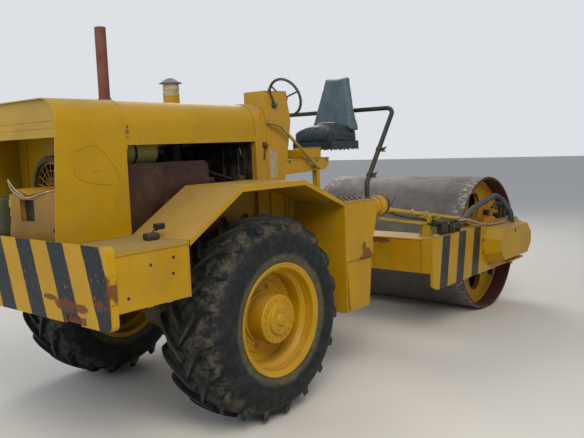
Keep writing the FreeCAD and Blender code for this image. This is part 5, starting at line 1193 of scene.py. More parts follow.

        # The intake's lower part, down in the bay, is black where the intake itself is yellow: painted shade standing
        # for the bay's shade on it.
        lower = lathe("intake_foot", [(1.882, 0), (1.882, 0.066), (2.200, 0.066), (2.200, 0)], "Z", at(0.100, 0, 0), 48)
        dress(join("intake_foot", lower), "black_moulded_plastic", "rear_frame", "black_plastic")
        stub = lathe("intake_stub", [(2.200, 0), (2.200, 0.066), (2.410, 0.066), (2.412, 0.0635), (2.420, 0.0635), (2.420, 0)],
                     "Z", at(0.100, 0, 0), 48)
        dress(join("air_intake_stub", stub), "yellow_machine_enamel", "rear_frame", "yellow_paint", "air_intake")
        band = lathe("intake_band", [(2.418, 0.060), (2.420, 0.0665), (2.446, 0.0665), (2.448, 0.0625), (2.466, 0.0625),
                                     (2.468, 0.0660), (2.508, 0.0640), (2.508, 0.050)], "Z", at(0.100, 0, 0), 48)
        cage = lathe("intake_cage", [(2.505, 0.050), (2.505, 0.0640), (2.532, 0.0640), (2.532, 0.050)], "Z", at(0.100, 0, 0), 48)
        dress(join("intake_band", band, cage), "pale_blank_plate", "rear_frame", "bare_steel")
        cap = lathe("rain_cap", [(2.524, 0), (2.522, 0.088), (2.521, 0.092), (2.525, 0.0925), (2.532, 0.080), (2.552, 0.048),
                                 (2.562, 0.025), (2.566, 0.010), (2.567, 0)], "Z", at(0.100, 0, 0), 48)
        dress(join("intake_rain_cap", cap), "blue_grey_enamel", "rear_frame", "bare_steel")
        return {"FINISHED"}


class ROLLER_OT_deck_load(bpy.types.Operator):
    """Make what stands on the rear deck: the box with its sagging lid, the canister and the cable"""

    bl_idname = "roller.deck_load"
    bl_label = "Deck box and canister"

    def execute(self, context):
        # Corners of the front outline, across and up: the left side leans, the lid sags
        face = [(0.046, 1.431), (-0.040, 1.764), (-0.105, 1.763), (-0.190, 1.740), (-0.245, 1.730), (-0.310, 1.738),
                (-0.420, 1.757), (-0.578, 1.760), (-0.580, 1.431)]
        box = plate("bent_box", "X", -1.330, -1.040, face, 0.004)
        drill(box, case("window_tool", (-1.340, -1.290), (-0.300, -0.130), (1.560, 1.705), 0))
        lid = ribbon("box_lid", "X", -1.334, -1.045, [(-0.030, 1.766), (-0.110, 1.767), (-0.190, 1.746), (-0.245, 1.735),
                                                      (-0.310, 1.743), (-0.420, 1.762), (-0.578, 1.765)], 0.003, 0)
        frames = [case("window_frame", (-1.333, -1.329), y, z, 0.001)
                  for y, z in (((-0.306, -0.124), (1.703, 1.709)), ((-0.306, -0.124), (1.554, 1.560)))]
        latch = case("box_latch", (-1.340, -1.329), (-0.555, -0.530), (1.540, 1.590), 0.002)
        dress(join("bent_deck_box", box, latch, *frames), "ochre_box_enamel", "rear_frame", "ochre_paint", "deck_box")
        dress(join("yellow_box_lid", lid), "yellow_drum_enamel", "rear_frame", "yellow_paint")
        # A dark sheet just inside the window and dark discs at two holes: painted shade standing for the shaded inside
        # of the box and of the holes.
        dark = case("box_window", (-1.292, -1.2895), (-0.299, -0.131), (1.561, 1.704), 0)
        holes = [lathe("box_hole", [(0.0, 0), (0.0, 0.011), (-0.0015, 0.012), (-0.0015, 0)], "X", at(-1.3305, y, z), 12)
                 for y, z in ((-0.545, 1.520), (-0.520, 1.518))]
        dress(join("box_holes", dark, *holes), "dark_radiator_core", "rear_frame", "dark_paint")

        spot = at(-1.235, 0.190, 0)
        can = lathe("canister", [(1.431, 0), (1.431, 0.088), (1.437, 0.095), (1.560, 0.095), (1.563, 0.0925), (1.568, 0.095),
                                 (1.690, 0.095), (1.704, 0.088), (1.712, 0.050), (1.712, 0.030), (1.722, 0.030), (1.724, 0)],
                    "Z", spot, 40, 0.001)
        cap = lathe("can_cap", [(1.722, 0), (1.722, 0.026), (1.729, 0.026), (1.730, 0.022), (1.730, 0)], "Z", spot, 20)
        dress(join("green_canister", can, cap), "dark_canister_enamel", "rear_frame", "green_paint", "canister")
        yellow = [bar("valve_rod", at(-1.270, 0.090, 1.432), at(-1.270, 0.090, 1.728), 0.014, 5),
                  lathe("valve_nut", [(1.640, 0), (1.640, 0.024), (1.690, 0.024), (1.690, 0)], "Z", at(-1.270, 0.090, 0), 6, 0.002),
                  lathe("valve_nut", [(1.580, 0), (1.580, 0.021), (1.610, 0.021), (1.610, 0)], "Z", at(-1.270, 0.090, 0), 6, 0.002)]
        dress(join("yellow_valve", *yellow), "yellow_pipe_enamel", "rear_frame", "yellow_paint")
        # From under the lid at the box's right end, in a sag over its front, round a loop and back to a bare end
        way = [(-1.300, -0.560, 1.775), (-1.338, -0.500, 1.761), (-1.342, -0.400, 1.748), (-1.345, -0.300, 1.720),
               (-1.345, -0.215, 1.716), (-1.345, -0.130, 1.735), (-1.338, -0.040, 1.768), (-1.322, 0.005, 1.790),
               (-1.312, 0.034, 1.804), (-1.312, 0.044, 1.824), (-1.322, 0.022, 1.834), (-1.334, -0.016, 1.818),
               (-1.344, -0.075, 1.786), (-1.348, -0.140, 1.753), (-1.350, -0.215, 1.731)]
        cable = round_line("loose_pale_cable", [at(*p) for p in way], 0.0042, True, 4)
        cable.data.materials.append(bpy.data.materials["pale_blank_plate"])
        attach(cable, "rear_frame")
        return {"FINISHED"}


CONSOLE = [(0.552, 1.521), (0.552, 2.430), (0.822, 2.435), (0.875, 2.200), (0.803, 1.815), (0.781, 1.742), (0.760, 1.521)]


class ROLLER_OT_controls(bpy.types.Operator):
    """Make the console with its gauges, the steering wheel, the lever and the grab handle"""

    bl_idname = "roller.controls"
    bl_label = "Controls"

    def execute(self, context):
        pod = plate("console_pod", "Y", -0.608, -0.378, CONSOLE, 0.005)
        ledge = ribbon("console_lid", "Y", -0.6095, -0.3765, [(0.556, 2.4325), (0.821, 2.4370), (0.829, 2.405)], 0.003, 0)
        flange = case("console_flange", (0.556, 0.590), (-0.6115, -0.607), (1.523, 2.300), 0.001)
        dress(join("bent_console", pod, ledge, flange), "dusty_console_enamel", "rear_frame", "yellow_paint", "console")
        facing = (Vector((0.235, 0, 0.053))).normalized()
        turn = facing.to_track_quat("Z", "Y").to_matrix().to_4x4()
        dials = []
        for y, z, r in ((-0.440, 2.350, 0.032), (-0.545, 2.350, 0.032), (-0.440, 2.265, 0.024), (-0.545, 2.265, 0.024)):
            x = 0.822 + (2.435 - z) * 0.2255 + 0.001
            dial = lathe("dial", [(0, 0), (0, r), (0.008, r), (0.010, r - 0.004), (0.006, r - 0.006), (0.005, 0)], "Z", (0, 0, 0), 28)
            dial.data.transform(Matrix.Translation(at(x, y, z)) @ turn)
            dials.append(dial)
        dress(join("dials", *dials), "black_moulded_plastic", "rear_frame", "black_plastic")
        label = plate("label", "Y", -0.6105, -0.6079, [(0.566, 1.722), (0.676, 1.722), (0.676, 1.955), (0.566, 1.955)], 0.0005)
        rivets = [lathe("rivet", [(0, 0), (0, 0.004), (-0.0015, 0.003), (-0.002, 0)], "Y", at(x, -0.6104, z), 8)
                  for x in (0.573, 0.669) for z in (1.730, 1.947)]
        dress(join("blank_label", label, *rivets), "pale_blank_plate", "rear_frame", "bare_steel")

        hoop = [(0.176 - 0.011 + 0.011 * math.cos(a), 0.011 * math.sin(a)) for a in
                [2 * math.pi * n / 12 for n in range(13)]]
        wheel = lathe("hoop", [(w, r) for r, w in hoop], "Z", (0, 0, 0), 72, angle=60)
        grip = lathe("grip", [(-0.0055, 0), (-0.0055, 0.0115), (-0.002, 0.0128), (0.002, 0.0128), (0.0055, 0.0115), (0.0055, 0)],
                     "Y", (0.165, 0, 0), 10)
        grips = round_about(grip, "Z", (0, 0, 0), 48)
        arm = hose("wheel_spoke", [(0, 0.020, -0.022), (0, 0.080, -0.014), (0, 0.158, 0.0)], 0.0075, True, 4)
        arms = round_about(arm, "Z", (0, 0, 0), 3)
        arms.data.transform(Matrix.Rotation(math.radians(45), 4, "Z"))
        hub = lathe("wheel_hub", [(-0.038, 0), (-0.038, 0.030), (-0.030, 0.036), (-0.012, 0.037), (-0.002, 0.030), (0.004, 0.014),
                                  (0.0045, 0)], "Z", (0, 0, 0), 28, 0.001)
        column = lathe("column", [(-0.125, 0), (-0.125, 0.026), (-0.060, 0.022), (-0.036, 0.022), (-0.036, 0)], "Z", (0, 0, 0), 24)
        wheel = join("ribbed_steering_wheel", wheel, grips, arms, hub, column)
        wheel.data.transform(Matrix.Translation(at(0.950, -0.490, 2.400)) @ Matrix.Rotation(math.radians(67), 4, "Y"))
        dress(wheel, "grey_wheel_plastic", "rear_frame", "black_plastic", "steering_wheel")

        boss = lathe("lever_boss", [(-0.608, 0), (-0.608, 0.027), (-0.614, 0.027), (-0.616, 0.021), (-0.636, 0.019),
                                    (-0.640, 0.012), (-0.641, 0)], "Y", at(0.660, 0, 2.320), 24, 0.001)
        lever = hose("lever", [at(0.660, -0.626, 2.320), at(0.625, -0.626, 2.386), at(0.592, -0.626, 2.448)], 0.0075, True, 5)
        tip = lathe("knob", [(-0.012, 0), (-0.012, 0.007), (-0.008, 0.0095), (0.004, 0.0105), (0.010, 0.007), (0.011, 0)], "Z",
                    at(0.592, -0.626, 2.446), 16)
        cap = bolt("lever_nut", 0.009, 0.008, at(0.660, -0.640, 2.320), "-Y")
        dress(join("hand_lever", boss, lever, tip, cap), "tarnished_steel", "rear_frame", "bare_steel", "throttle_lever")

        handle = bends([at(0.577, -0.606, 2.173), at(0.577, -0.653, 2.173), at(0.691, -0.653, 2.146),
                        at(1.166, -0.653, 1.790), at(1.166, -0.606, 1.790)], 0.050)
        grab = hose("handle", handle, 0.013, False, 7)
        foot = lathe("handle_foot", [(-0.608, 0), (-0.608, 0.026), (-0.614, 0.026), (-0.616, 0.014)], "Y", at(0.577, 0, 2.173), 20)
        low = lathe("handle_foot", [(-0.608, 0), (-0.608, 0.026), (-0.614, 0.026), (-0.616, 0.014)], "Y", at(1.166, 0, 1.790), 20)
        dress(join("bent_grab_handle", grab, foot, low), "worn_handle_enamel", "rear_frame", "black_paint", "grab_handle")
        return {"FINISHED"}


def swell(piece, voxel, pressure, reach):
    """Blows a pad up like a filled cover, and holds each point within its reach."""
    change(piece, "REMESH", mode="VOXEL", voxel_size=voxel)
    still = [v.co.copy() for v in piece.data.vertices]
    choose(piece)
    bpy.ops.object.modifier_add(type="CLOTH")
    cloth = piece.modifiers[-1]
    cloth.settings.use_pressure = True
    cloth.settings.uniform_pressure_force = pressure
    cloth.settings.effector_weights.gravity = 0
    for number in range(1, 21):
        bpy.context.scene.frame_set(number)
    bpy.ops.object.modifier_apply(modifier=cloth.name)
    bpy.context.scene.frame_set(1)
    for vertex, before in zip(piece.data.vertices, still):
        moved = vertex.co - before
        if moved.length > reach:
            vertex.co = before + moved * (reach / moved.length)
    return piece


def creased(piece, folds):
    """Presses the folds of a cover into it: each a start, an end, a width and a depth."""
    outwards = [v.normal.copy() for v in piece.data.vertices]
    for vertex, normal in zip(piece.data.vertices, outwards):
        for start, end, width, depth in folds:
            line = end - start
            share = max(0.0, min(1.0, (vertex.co - start).dot(line) / line.length_squared))
            away = (vertex.co - (start + line * share)).length
            if away < width * 2:
                fade = math.exp(-(away / width) ** 2) * math.sin(math.pi * min(1, max(0, share * 0.9 + 0.05)))
                vertex.co -= normal * depth * fade
    change(piece, "SUBSURF", levels=1, render_levels=1)
    return smooth(piece, 80)


class ROLLER_OT_seat(bpy.types.Operator):
    """Make the seat with its loose cover, its bracket and its pedestal"""

    bl_idname = "roller.seat"
    bl_label = "Seat"

    def execute(self, context):
        pad = case("cushion", (1.302, 1.728), (-0.712, -0.268), (1.972, 2.112), 0.040)
        swell(pad, 0.006, 4.0, 0.024)
        for vertex in pad.data.vertices:
            lie = vertex.co - at(1.560, -0.490, 2.060)
            if lie.z > 0:
                vertex.co.z += 0.045 * math.exp(-(lie.x / 0.150) ** 2 - (lie.y / 0.200) ** 2)
            else:
                vertex.co.y *= 1 - 0.05 * lie.z
        folds = [(at(1.33, -0.71, 2.06), at(1.70, -0.71, 2.03), 0.010, 0.012),
                 (at(1.32, -0.71, 2.02), at(1.60, -0.71, 2.00), 0.008, 0.009),
                 (at(1.30, -0.66, 2.09), at(1.30, -0.40, 2.04), 0.010, 0.010),
                 (at(1.40, -0.70, 2.11), at(1.50, -0.30, 2.11), 0.013, 0.010),
                 (at(1.56, -0.70, 2.11), at(1.66, -0.35, 2.11), 0.012, 0.009),
                 (at(1.73, -0.66, 2.08), at(1.73, -0.33, 2.02), 0.010, 0.010)]
        creased(pad, folds)
        ragged = [0.000, 0.014, 0.004, 0.022, 0.010, 0.030, 0.006, 0.018, 0.000, 0.026, 0.012, 0.034, 0.008, 0.016]
        hems = []
        for name, axis, start, end, low, high in (("hem", "Y", -0.713, -0.710, 1.303, 1.727), ("hem", "Y", -0.270, -0.267, 1.303, 1.727),
                                                  ("hem", "X", 1.301, 1.304, -0.711, -0.269), ("hem", "X", 1.726, 1.729, -0.711, -0.269)):
            count = 22
            line = [(low + (high - low) * n / count, 1.922 + ragged[(n * 5) % 14]) for n in range(count + 1)]
            hems.append(plate(name, axis, start, end, line + [(high, 2.010), (low, 2.010)], 0))
        cushion = join("covered_cushion", pad, *hems)
        dress(cushion, "dark_seat_tarpaulin", "rear_frame", "seat_vinyl", "seat_cushion")

        outline = [(-0.740, 2.100), (-0.225, 2.100), (-0.240, 2.160), (-0.272, 2.300), (-0.318, 2.480), (-0.358, 2.612),
                   (-0.622, 2.612), (-0.662, 2.480), (-0.706, 2.300), (-0.728, 2.160)]
        back = plate("back", "X", 1.612, 1.672, outline, 0.016)
        for vertex in back.data.vertices:
            vertex.co.x += (vertex.co.z - 2.115) * 0.180 + (0.035 if vertex.co.z < 2.2 and vertex.co.x > AXLE.x + 1.64 else 0)
        swell(back, 0.006, 4.0, 0.018)
        creased(back, [(at(1.62, -0.640, 2.16), at(1.70, -0.590, 2.58), 0.012, 0.011),
                       (at(1.62, -0.520, 2.14), at(1.70, -0.500, 2.52), 0.010, 0.008),
                       (at(1.62, -0.400, 2.16), at(1.70, -0.420, 2.58), 0.012, 0.010),
                       (at(1.62, -0.300, 2.16), at(1.69, -0.350, 2.50), 0.010, 0.009),
                       (at(1.66, -0.705, 2.15), at(1.72, -0.640, 2.50), 0.010, 0.010),
                       (at(1.62, -0.700, 2.20), at(1.62, -0.300, 2.17), 0.010, 0.010)])
        dress(join("covered_backrest", back), "pale_seat_tarpaulin", "rear_frame", "seat_vinyl", "seat_back")
        torn = hose("torn", [at(1.585, -0.345, 2.176), at(1.582, -0.400, 2.186), at(1.580, -0.470, 2.188), at(1.583, -0.545, 2.182)],
                    0.0055, True, 3)
        dress(join("torn_seam", torn), "white_torn_thread", "rear_frame", "bare_steel")

        bracket = [(0.781, 1.742), (0.781, 1.870), (1.400, 1.870), (1.400, 1.8105), (1.341, 1.7615)]
        side = plate("seat_arm", "Y", -0.606, -0.378, bracket, 0.004)
        rim = case("arm_edge", (0.790, 1.398), (-0.6115, -0.604), (1.862, 1.870), 0.001)
        leg = case("seat_leg", (1.220, 1.260), (-0.606, -0.549), (1.520, 1.785), 0.004)
        foot = case("leg_foot", (1.185, 1.295), (-0.640, -0.530), (1.5185, 1.528), 0.002)
        dress(join("seat_bracket_plate", side, rim, leg, foot), "yellow_machine_enamel", "rear_frame", "yellow_paint",
              "seat_bracket")
        dress(bolts("bracket_bolts", 0.008, 0.007, "-Y", [at(x, -0.606, 1.845) for x in (0.84, 1.10, 1.22, 1.36)]),
              "zinc_bolt_steel", "rear_frame", "bare_steel")
        stand = case("pedestal", (1.036, 1.288), (-0.603, -0.377), (1.871, 1.948), 0.005)
        pan = join("pan", case("pan", (1.316, 1.712), (-0.692, -0.288), (1.953, 1.974), 0.004),
                   case("pan_tongue", (1.180, 1.318), (-0.596, -0.384), (1.948, 1.962), 0.003))
        slide = case("slide", (1.320, 1.690), (-0.640, -0.600), (1.936, 1.954), 0.003)
        other = case("slide", (1.320, 1.690), (-0.380, -0.340), (1.936, 1.954), 0.003)
        dress(join("pedestal_and_pan", stand, pan, slide, other), "yellow_machine_enamel", "rear_frame", "yellow_paint",
              "seat_pedestal")
        return {"FINISHED"}


class ROLLER_OT_guard_rail(bpy.types.Operator):
    """Bend the guard rail behind the seat, with the scraps of tape on it"""

    bl_idname = "roller.guard_rail"
    bl_label = "Guard rail"

    def execute(self, context):
        half = [(1.245, 1.115, 1.520), (1.245, 1.115, 1.650), (1.815, 1.050, 2.295)]
        line = bends([at(x, -y, z) for x, y, z in half] + [at(*p) for p in half[::-1]], 0.090, 8)
        rail = hose("rail", line, 0.021, False, 9)
        feet = [lathe("rail_foot", [(1.518, 0), (1.518, 0.040), (1.526, 0.040), (1.528, 0.023), (1.534, 0.021)], "Z",
                      at(1.245, y, 0), 28) for y in (-1.115, 1.115)]
        dress(join("bent_guard_rail", rail, *feet), "black_rail_enamel", "rear_frame", "black_paint", "guard_rail")
        knots = []
        for share, wide in ((0.10, 0.034), (0.43, 0.040)):
            place = at(1.245 + 0.570 * share, -1.115 + 0.065 * share, 1.650 + 0.645 * share)
            knot = lathe("tape", [(-wide / 2, 0.0215), (-wide / 2, 0.025), (0, 0.0265), (wide / 2, 0.024), (wide / 2, 0.0215)],
                         "Z", (0, 0, 0), 14)
            flap = slab("flap", [(-0.020, -0.012, 0.020), (-0.062, -0.012, 0.034), (-0.050, -0.012, -0.006),
                                     (-0.070, -0.012, -0.026), (-0.020, -0.012, -0.020)], (0, 0.004, 0))
            knot = join("tape", knot, flap)
            turn = Vector((0.570, 0.065, 0.645)).normalized().to_track_quat("Z", "Y").to_matrix().to_4x4()
            knot.data.transform(Matrix.Translation(place) @ turn)
            knots.append(knot)
        dress(join("tape_scraps", *knots), "black_moulded_plastic", "rear_frame", "black_plastic")
        return {"FINISHED"}


class ROLLER_OT_steering(bpy.types.Operator):
    """Add the bolts, glands and hoses of the steering joint and its cylinders"""

    bl_idname = "roller.steering"
    bl_label = "Steering joint"

    def execute(self, context):
        pivot, height = 1.760, 0.780
        caps = [lathe("pin_cap", [(z, 0), (z, 0.072), (z + s * 0.012, 0.072), (z + s * 0.014, 0.052), (z + s * 0.020, 0)], "Z",
                      at(pivot, 0, 0), 32) for z, s in ((1.000, 1), (0.560, -1))]
        ring = [bolts("pin_bolts", 0.009, 0.008, axis, [at(pivot + 0.062 * math.cos(a), 0.062 * math.sin(a), z)
                                                        for a in [math.pi * n / 3 for n in range(6)]])
                for axis, z in (("Z", 1.012), ("-Z", 0.548))]
        dress(join("steering_pin_caps", *caps, *ring), "oily_chassis_enamel", "rear_frame", "dark_paint")

        ribs = []
        for low, high in ((0.605, 0.640), (0.920, 0.955)):
            for y in (-0.205, 0.195):
                ribs.append(plate("bracket_rib", "Y", y, y + 0.012, [(1.250, low), (1.250, high), (1.420, high - 0.010),
                                                                     (1.420, low + 0.010)], 0.002))
        plates = case("joint_plate", (1.250, 1.262), (-0.300, 0.300), (0.565, 0.995), 0.003)
        studs = bolts("joint_bolts", 0.015, 0.014, "X", [at(1.262, y, z) for y in (-0.275, 0.275)
                                                         for z in (0.600, 0.690, 0.780, 0.870, 0.960)])
        dress(join("joint_plates", plates, studs, *ribs), "oily_chassis_enamel", "rear_frame", "dark_paint")

        straight = Vector((0.843, 0.227, 0)).normalized()
        for side, sign in (("right", -1), ("left", 1)):
            way = Vector((straight.x, -sign * straight.y, 0))
            start = at(0.980, sign * 0.500, height)
            gland = hose("gland", [start + way * 0.545, start + way * 0.600], 0.0505, False, 8)
            weld = hose("weld", [start + way * 0.066, start + way * 0.074], 0.0450, False, 8)
            ports = [bar("port", start + way * x + Vector((0, 0, 0.036)), start + way * x + Vector((0, 0, 0.066)), 0.014, 4)
                     for x in (0.100, 0.520)]
            pipe = hose("pipe", bends([start + way * 0.520 + Vector((0, 0, 0.064)), start + way * 0.470 + Vector((0, 0, 0.066)),
                                       start + way * 0.130 + Vector((0, 0, 0.066))], 0.02), 0.007, False, 4)
            dress(join("cylinder_fittings_" + side, gland, weld, pipe, *ports), "oily_chassis_enamel", "barrel_" + side,
                  "dark_paint")
            tip = start + way * 0.873
            nipple = bar("nipple", tip + Vector((0, 0, 0.024)), tip + Vector((0, 0, 0.044)), 0.006, 3)
            eye = lathe("eye_washer", [(height + 0.025, 0.019), (height + 0.025, 0.034), (height + 0.029, 0.034),
                                       (height + 0.029, 0.0)], "Z", tip - Vector((0, 0, tip.z)), 20)
            dress(join("rod_eye_fittings_" + side, nipple, eye), "tarnished_steel", "rod_" + side, "bare_steel")

        loops = []
        for y, drop in ((-0.190, 0.06), (-0.120, 0.11), (0.120, 0.09), (0.190, 0.05)):
            loops.append(hose("joint_hose", [at(1.262, y, 1.060), at(1.330, y, 1.110), at(1.420, y * 0.9, 1.110 - drop),
                                             at(1.450, y * 0.8, 1.060 - drop), at(1.400, y * 0.9, 1.020 - drop),
                                             at(1.262, y, 1.010)], 0.013, True, 4))
        dress(join("joint_hose_loops", *loops), "hydraulic_hose_rubber", "rear_frame", "hose_rubber")
        bush = [lathe("yoke_band", [(z, 0.1295), (z, 0.1335), (z + 0.016, 0.1335), (z + 0.016, 0.1295)], "Z", at(pivot, 0, 0), 40)
                for z in (0.616, 0.928)]
        end = bolts("yoke_bolts", 0.012, 0.012, "Y", [at(1.90, 0.130, z) for z in (0.69, 0.87)])
        other = bolts("yoke_bolts", 0.012, 0.012, "-Y", [at(1.90, -0.130, z) for z in (0.69, 0.87)])
        dress(join("yoke_fittings", end, other, *bush), "oily_chassis_enamel", "yoke", "dark_paint")
        return {"FINISHED"}


class ROLLER_OT_chassis(bpy.types.Operator):
    """Bolt the rails and the axle together and lead the pipes along them"""

    bl_idname = "roller.chassis"
    bl_label = "Chassis and axle"

    def execute(self, context):
        heads = []
        for sign in (-1, 1):
            axis = "-Y" if sign < 0 else "Y"
            places = [at(x, sign * 0.360, z) for x in (0.700, 0.860, 1.020) for z in (0.960, 1.050)]
            places += [at(x, sign * 0.360, z) for x in (1.100, 1.210) for z in (0.560, 0.700)]
            heads.append(bolts("rail_bolts", 0.013, 0.012, axis, places))
            heads.append(bolts("axle_bolts", 0.016, 0.016, "-Z", [at(x, sign * y, 0.900 - 0.020) for x in (-0.135, 0.135)
                                                                   for y in (0.285, 0.335)]))
            heads.append(case("axle_clamp", (-0.160, 0.160), sorted((sign * 0.262, sign * 0.358)), (0.880, 0.900), 0.004))
        case_ring = lathe("case_flange", [(-0.118, 0.205), (-0.118, 0.222), (-0.100, 0.222), (-0.100, 0.205)], "X",
                          at(0, 0, 0.750), 40, 0.001)
        cover = lathe("case_cover", [(-0.120, 0), (-0.150, 0.080), (-0.150, 0.110), (-0.118, 0.200), (-0.110, 0.200), (-0.110, 0)],
                      "X", at(0, 0, 0.750), 40, 0.002)
        spots = [bolt("case_bolt", 0.010, 0.009, at(-0.118, 0, 0.750 + 0.213), "-X")]
        ring = round_about(spots[0], "X", at(0, 0, 0.750), 14)
        shaft = lathe("drive_shaft", [(0.235, 0), (0.235, 0.060), (0.290, 0.060), (0.300, 0.036), (0.900, 0.036), (0.910, 0.055),
                                      (0.950, 0.055), (0.950, 0)], "X", at(0, 0, 0.760), 28, 0.002)
        lines = [bar("brake_line", at(0.120, y, 0.866), at(0.120, y * 1.9, 0.866), 0.006, 3) for y in (-0.30, 0.30)]
        dress(join("chassis_bolts_and_shaft", *heads, case_ring, cover, ring, shaft, *lines), "oily_chassis_enamel", "rear_frame",
              "dark_paint")
        return {"FINISHED"}


class ROLLER_OT_drum_frame(bpy.types.Operator):
    """Make the cross beam, the two arms and the motor covers"""

    bl_idname = "roller.drum_frame"
    bl_label = "Drum frame"

    def execute(self, context):
        place = at(0, 0, 0.780)
        beam = case("beam", (2.252, 2.598), (-1.070, 1.070), (0.692, 1.028), 0.004)
        drill(beam, lathe("spindle_tool", [(2.20, 0), (2.20, 0.0755), (2.42, 0.0755), (2.42, 0)], "X", place, 40))
        parts = [case("beam_flange", (2.245, 2.604), (-1.070, 1.070), z, 0.003) for z in ((1.018, 1.030), (0.690, 0.702))]
        parts += [case("beam_rib", x, (y, y + 0.012), (0.700, 1.020), 0.002) for y in (-0.760, -0.300, 0.290, 0.750)
                  for x in ((2.246, 2.254),)]
        parts.append(lathe("housing", [(1.990, 0.0755), (1.990, 0.170), (1.996, 0.175), (2.026, 0.175), (2.030, 0.170),
                                       (2.030, 0.152), (2.040, 0.150), (2.230, 0.150), (2.250, 0.158), (2.256, 0.158),
                                       (2.256, 0.0755)], "X", place, 56, 0.001))
        rib = plate("housing_rib", "Y", -0.006, 0.006, [(2.035, 0.925), (2.250, 0.925), (2.250, 0.990)], 0.001)
        parts.append(round_about(rib, "X", place, 6))
        parts.append(round_about(bolt("collar_bolt", 0.011, 0.010, at(1.990, 0, 0.780 + 0.142), "-X"), "X", place, 10))
        dress(join("welded_cross_beam", beam, *parts), "yellow_enamel_with_rusted_beam", "drum_frame", "yellow_paint",
              "cross_beam")

        outer = [(2.235, 0.565), (2.235, 1.035), (4.360, 1.035), (4.450, 0.945), (4.450, 0.610), (4.360, 0.520), (2.325, 0.520)]
        inner = [(2.235, 0.692), (2.235, 1.033), (4.356, 1.033), (4.446, 0.943), (4.446, 0.612), (4.356, 0.522), (2.465, 0.522),
                 (2.465, 0.692)]
        skin = plate("arm_skin", "Y", -1.200, -1.168, outer, 0.004)
        core = plate("arm_core", "Y", -1.170, -1.070, inner, 0.003)
        top = plate("arm_cap", "Y", -1.198, -1.072, [(2.240, 1.0345), (2.240, 1.0375), (4.355, 1.0375), (4.355, 1.0345)], 0)
        fish = case("arm_corner", (2.246, 2.330), (-1.169, -1.150), (0.700, 1.030), 0.002)
        base = bolts("arm_bolts", 0.014, 0.012, "Y", [at(x, -1.070, z) for x in (4.33, 4.40) for z in (0.62, 0.72, 0.84, 0.93)])
        arm = join("banded_arm_right", skin, core, top, fish, base)
        left = again(arm, [FLIP])[0]
        left.name = left.data.name = "banded_arm_left"
        for side, piece in (("right", arm), ("left", left)):
            dress(piece, "yellow_enamel_with_arm_bands", "drum_frame", "yellow_paint", "arm_" + side)

        def eight(x, z, y, corner=0.110):
            return [at(a, y, b) for a, b in (
                (x[0] + corner, z[0]), (x[1] - corner, z[0]), (x[1], z[0] + corner), (x[1], z[1] - corner),
                (x[1] - corner, z[1]), (x[0] + corner, z[1]), (x[0], z[1] - corner), (x[0], z[0] + corner))]

        cover = loft("motor_cover", [eight((3.380, 4.325), (0.606, 1.020), -1.200), eight((3.382, 4.317), (0.610, 1.016), -1.222),
                                     eight((3.400, 4.265), (0.650, 0.990), -1.400)])
        pick(cover, lambda c, n: n.y < -0.99)
        bpy.ops.mesh.inset(thickness=0.012, depth=0.0)
        bpy.ops.mesh.extrude_region_move(TRANSFORM_OT_translate={"value": (0, 0.003, 0)})
        leave_edit()
        soften(cover, 0.004, 2, 12)
        smooth(cover, 20)
        foot = loft("cover_foot", [eight((3.366, 4.334), (0.592, 1.028), -1.199), eight((3.366, 4.334), (0.592, 1.028), -1.207)])
        clamps = [case("cover_tab", (x, x + 0.050), (-1.235, -1.200), (0.580, 0.598), 0.004) for x in (3.52, 4.05)]
        lower = case("under_bracket", (3.860, 4.280), (-1.300, -1.205), (0.560, 0.582), 0.004)
        hook = bar("drain", at(4.020, -1.260, 0.520), at(4.020, -1.260, 0.570), 0.014, 4)
        covers = both_sides(join("motor_covers_bent", cover, foot, lower, hook, *clamps))
        dress(covers, "yellow_cover_enamel", "drum_frame", "yellow_paint", "motor_covers")
        # A dark block in the slot and dark discs at two holes of each motor cover: painted shade standing for the
        # shaded insides of the openings.
        slot = case("cover_slot", (3.783, 3.805), (-1.4012, -1.3900), (0.925, 0.968), 0.002)
        marks = [lathe("cover_hole", [(-1.3990, 0), (-1.3990, 0.008), (-1.3975, 0.009), (-1.3975, 0)], "Y", at(x, 0, z), 12)
                 for x, z in ((4.235, 0.800), (4.240, 0.870))]
        dress(both_sides(join("cover_slots", slot, *marks)), "dark_radiator_core", "drum_frame", "dark_paint")
        heads = bolts("cover_edge_bolts", 0.010, 0.009, "-Y", [at(x, -1.206, z) for x, z in
                      ((3.50, 0.599), (3.70, 0.599), (4.15, 0.599), (4.28, 0.66), (4.328, 0.78), (3.372, 0.88), (3.372, 0.74))])
        dress(both_sides(heads), "zinc_bolt_steel", "drum_frame", "bare_steel")
        return {"FINISHED"}


def loft(name, rings):
    """Pulls a closed outline from ring to ring, corner by corner."""
    piece = trace(name, rings[0], closed=True)
    for before, after in zip(rings, rings[1:]):
        bpy.ops.mesh.extrude_region_move(TRANSFORM_OT_translate={"value": (0, 0, 0)})
        leave_edit()
        for vertex in [v for v in piece.data.vertices if v.select]:
            nearest = min(range(len(before)), key=lambda i: (vertex.co - before[i]).length)
            vertex.co = after[nearest]
        bpy.ops.object.mode_set(mode="EDIT")
    leave_edit()
    return clean(piece)


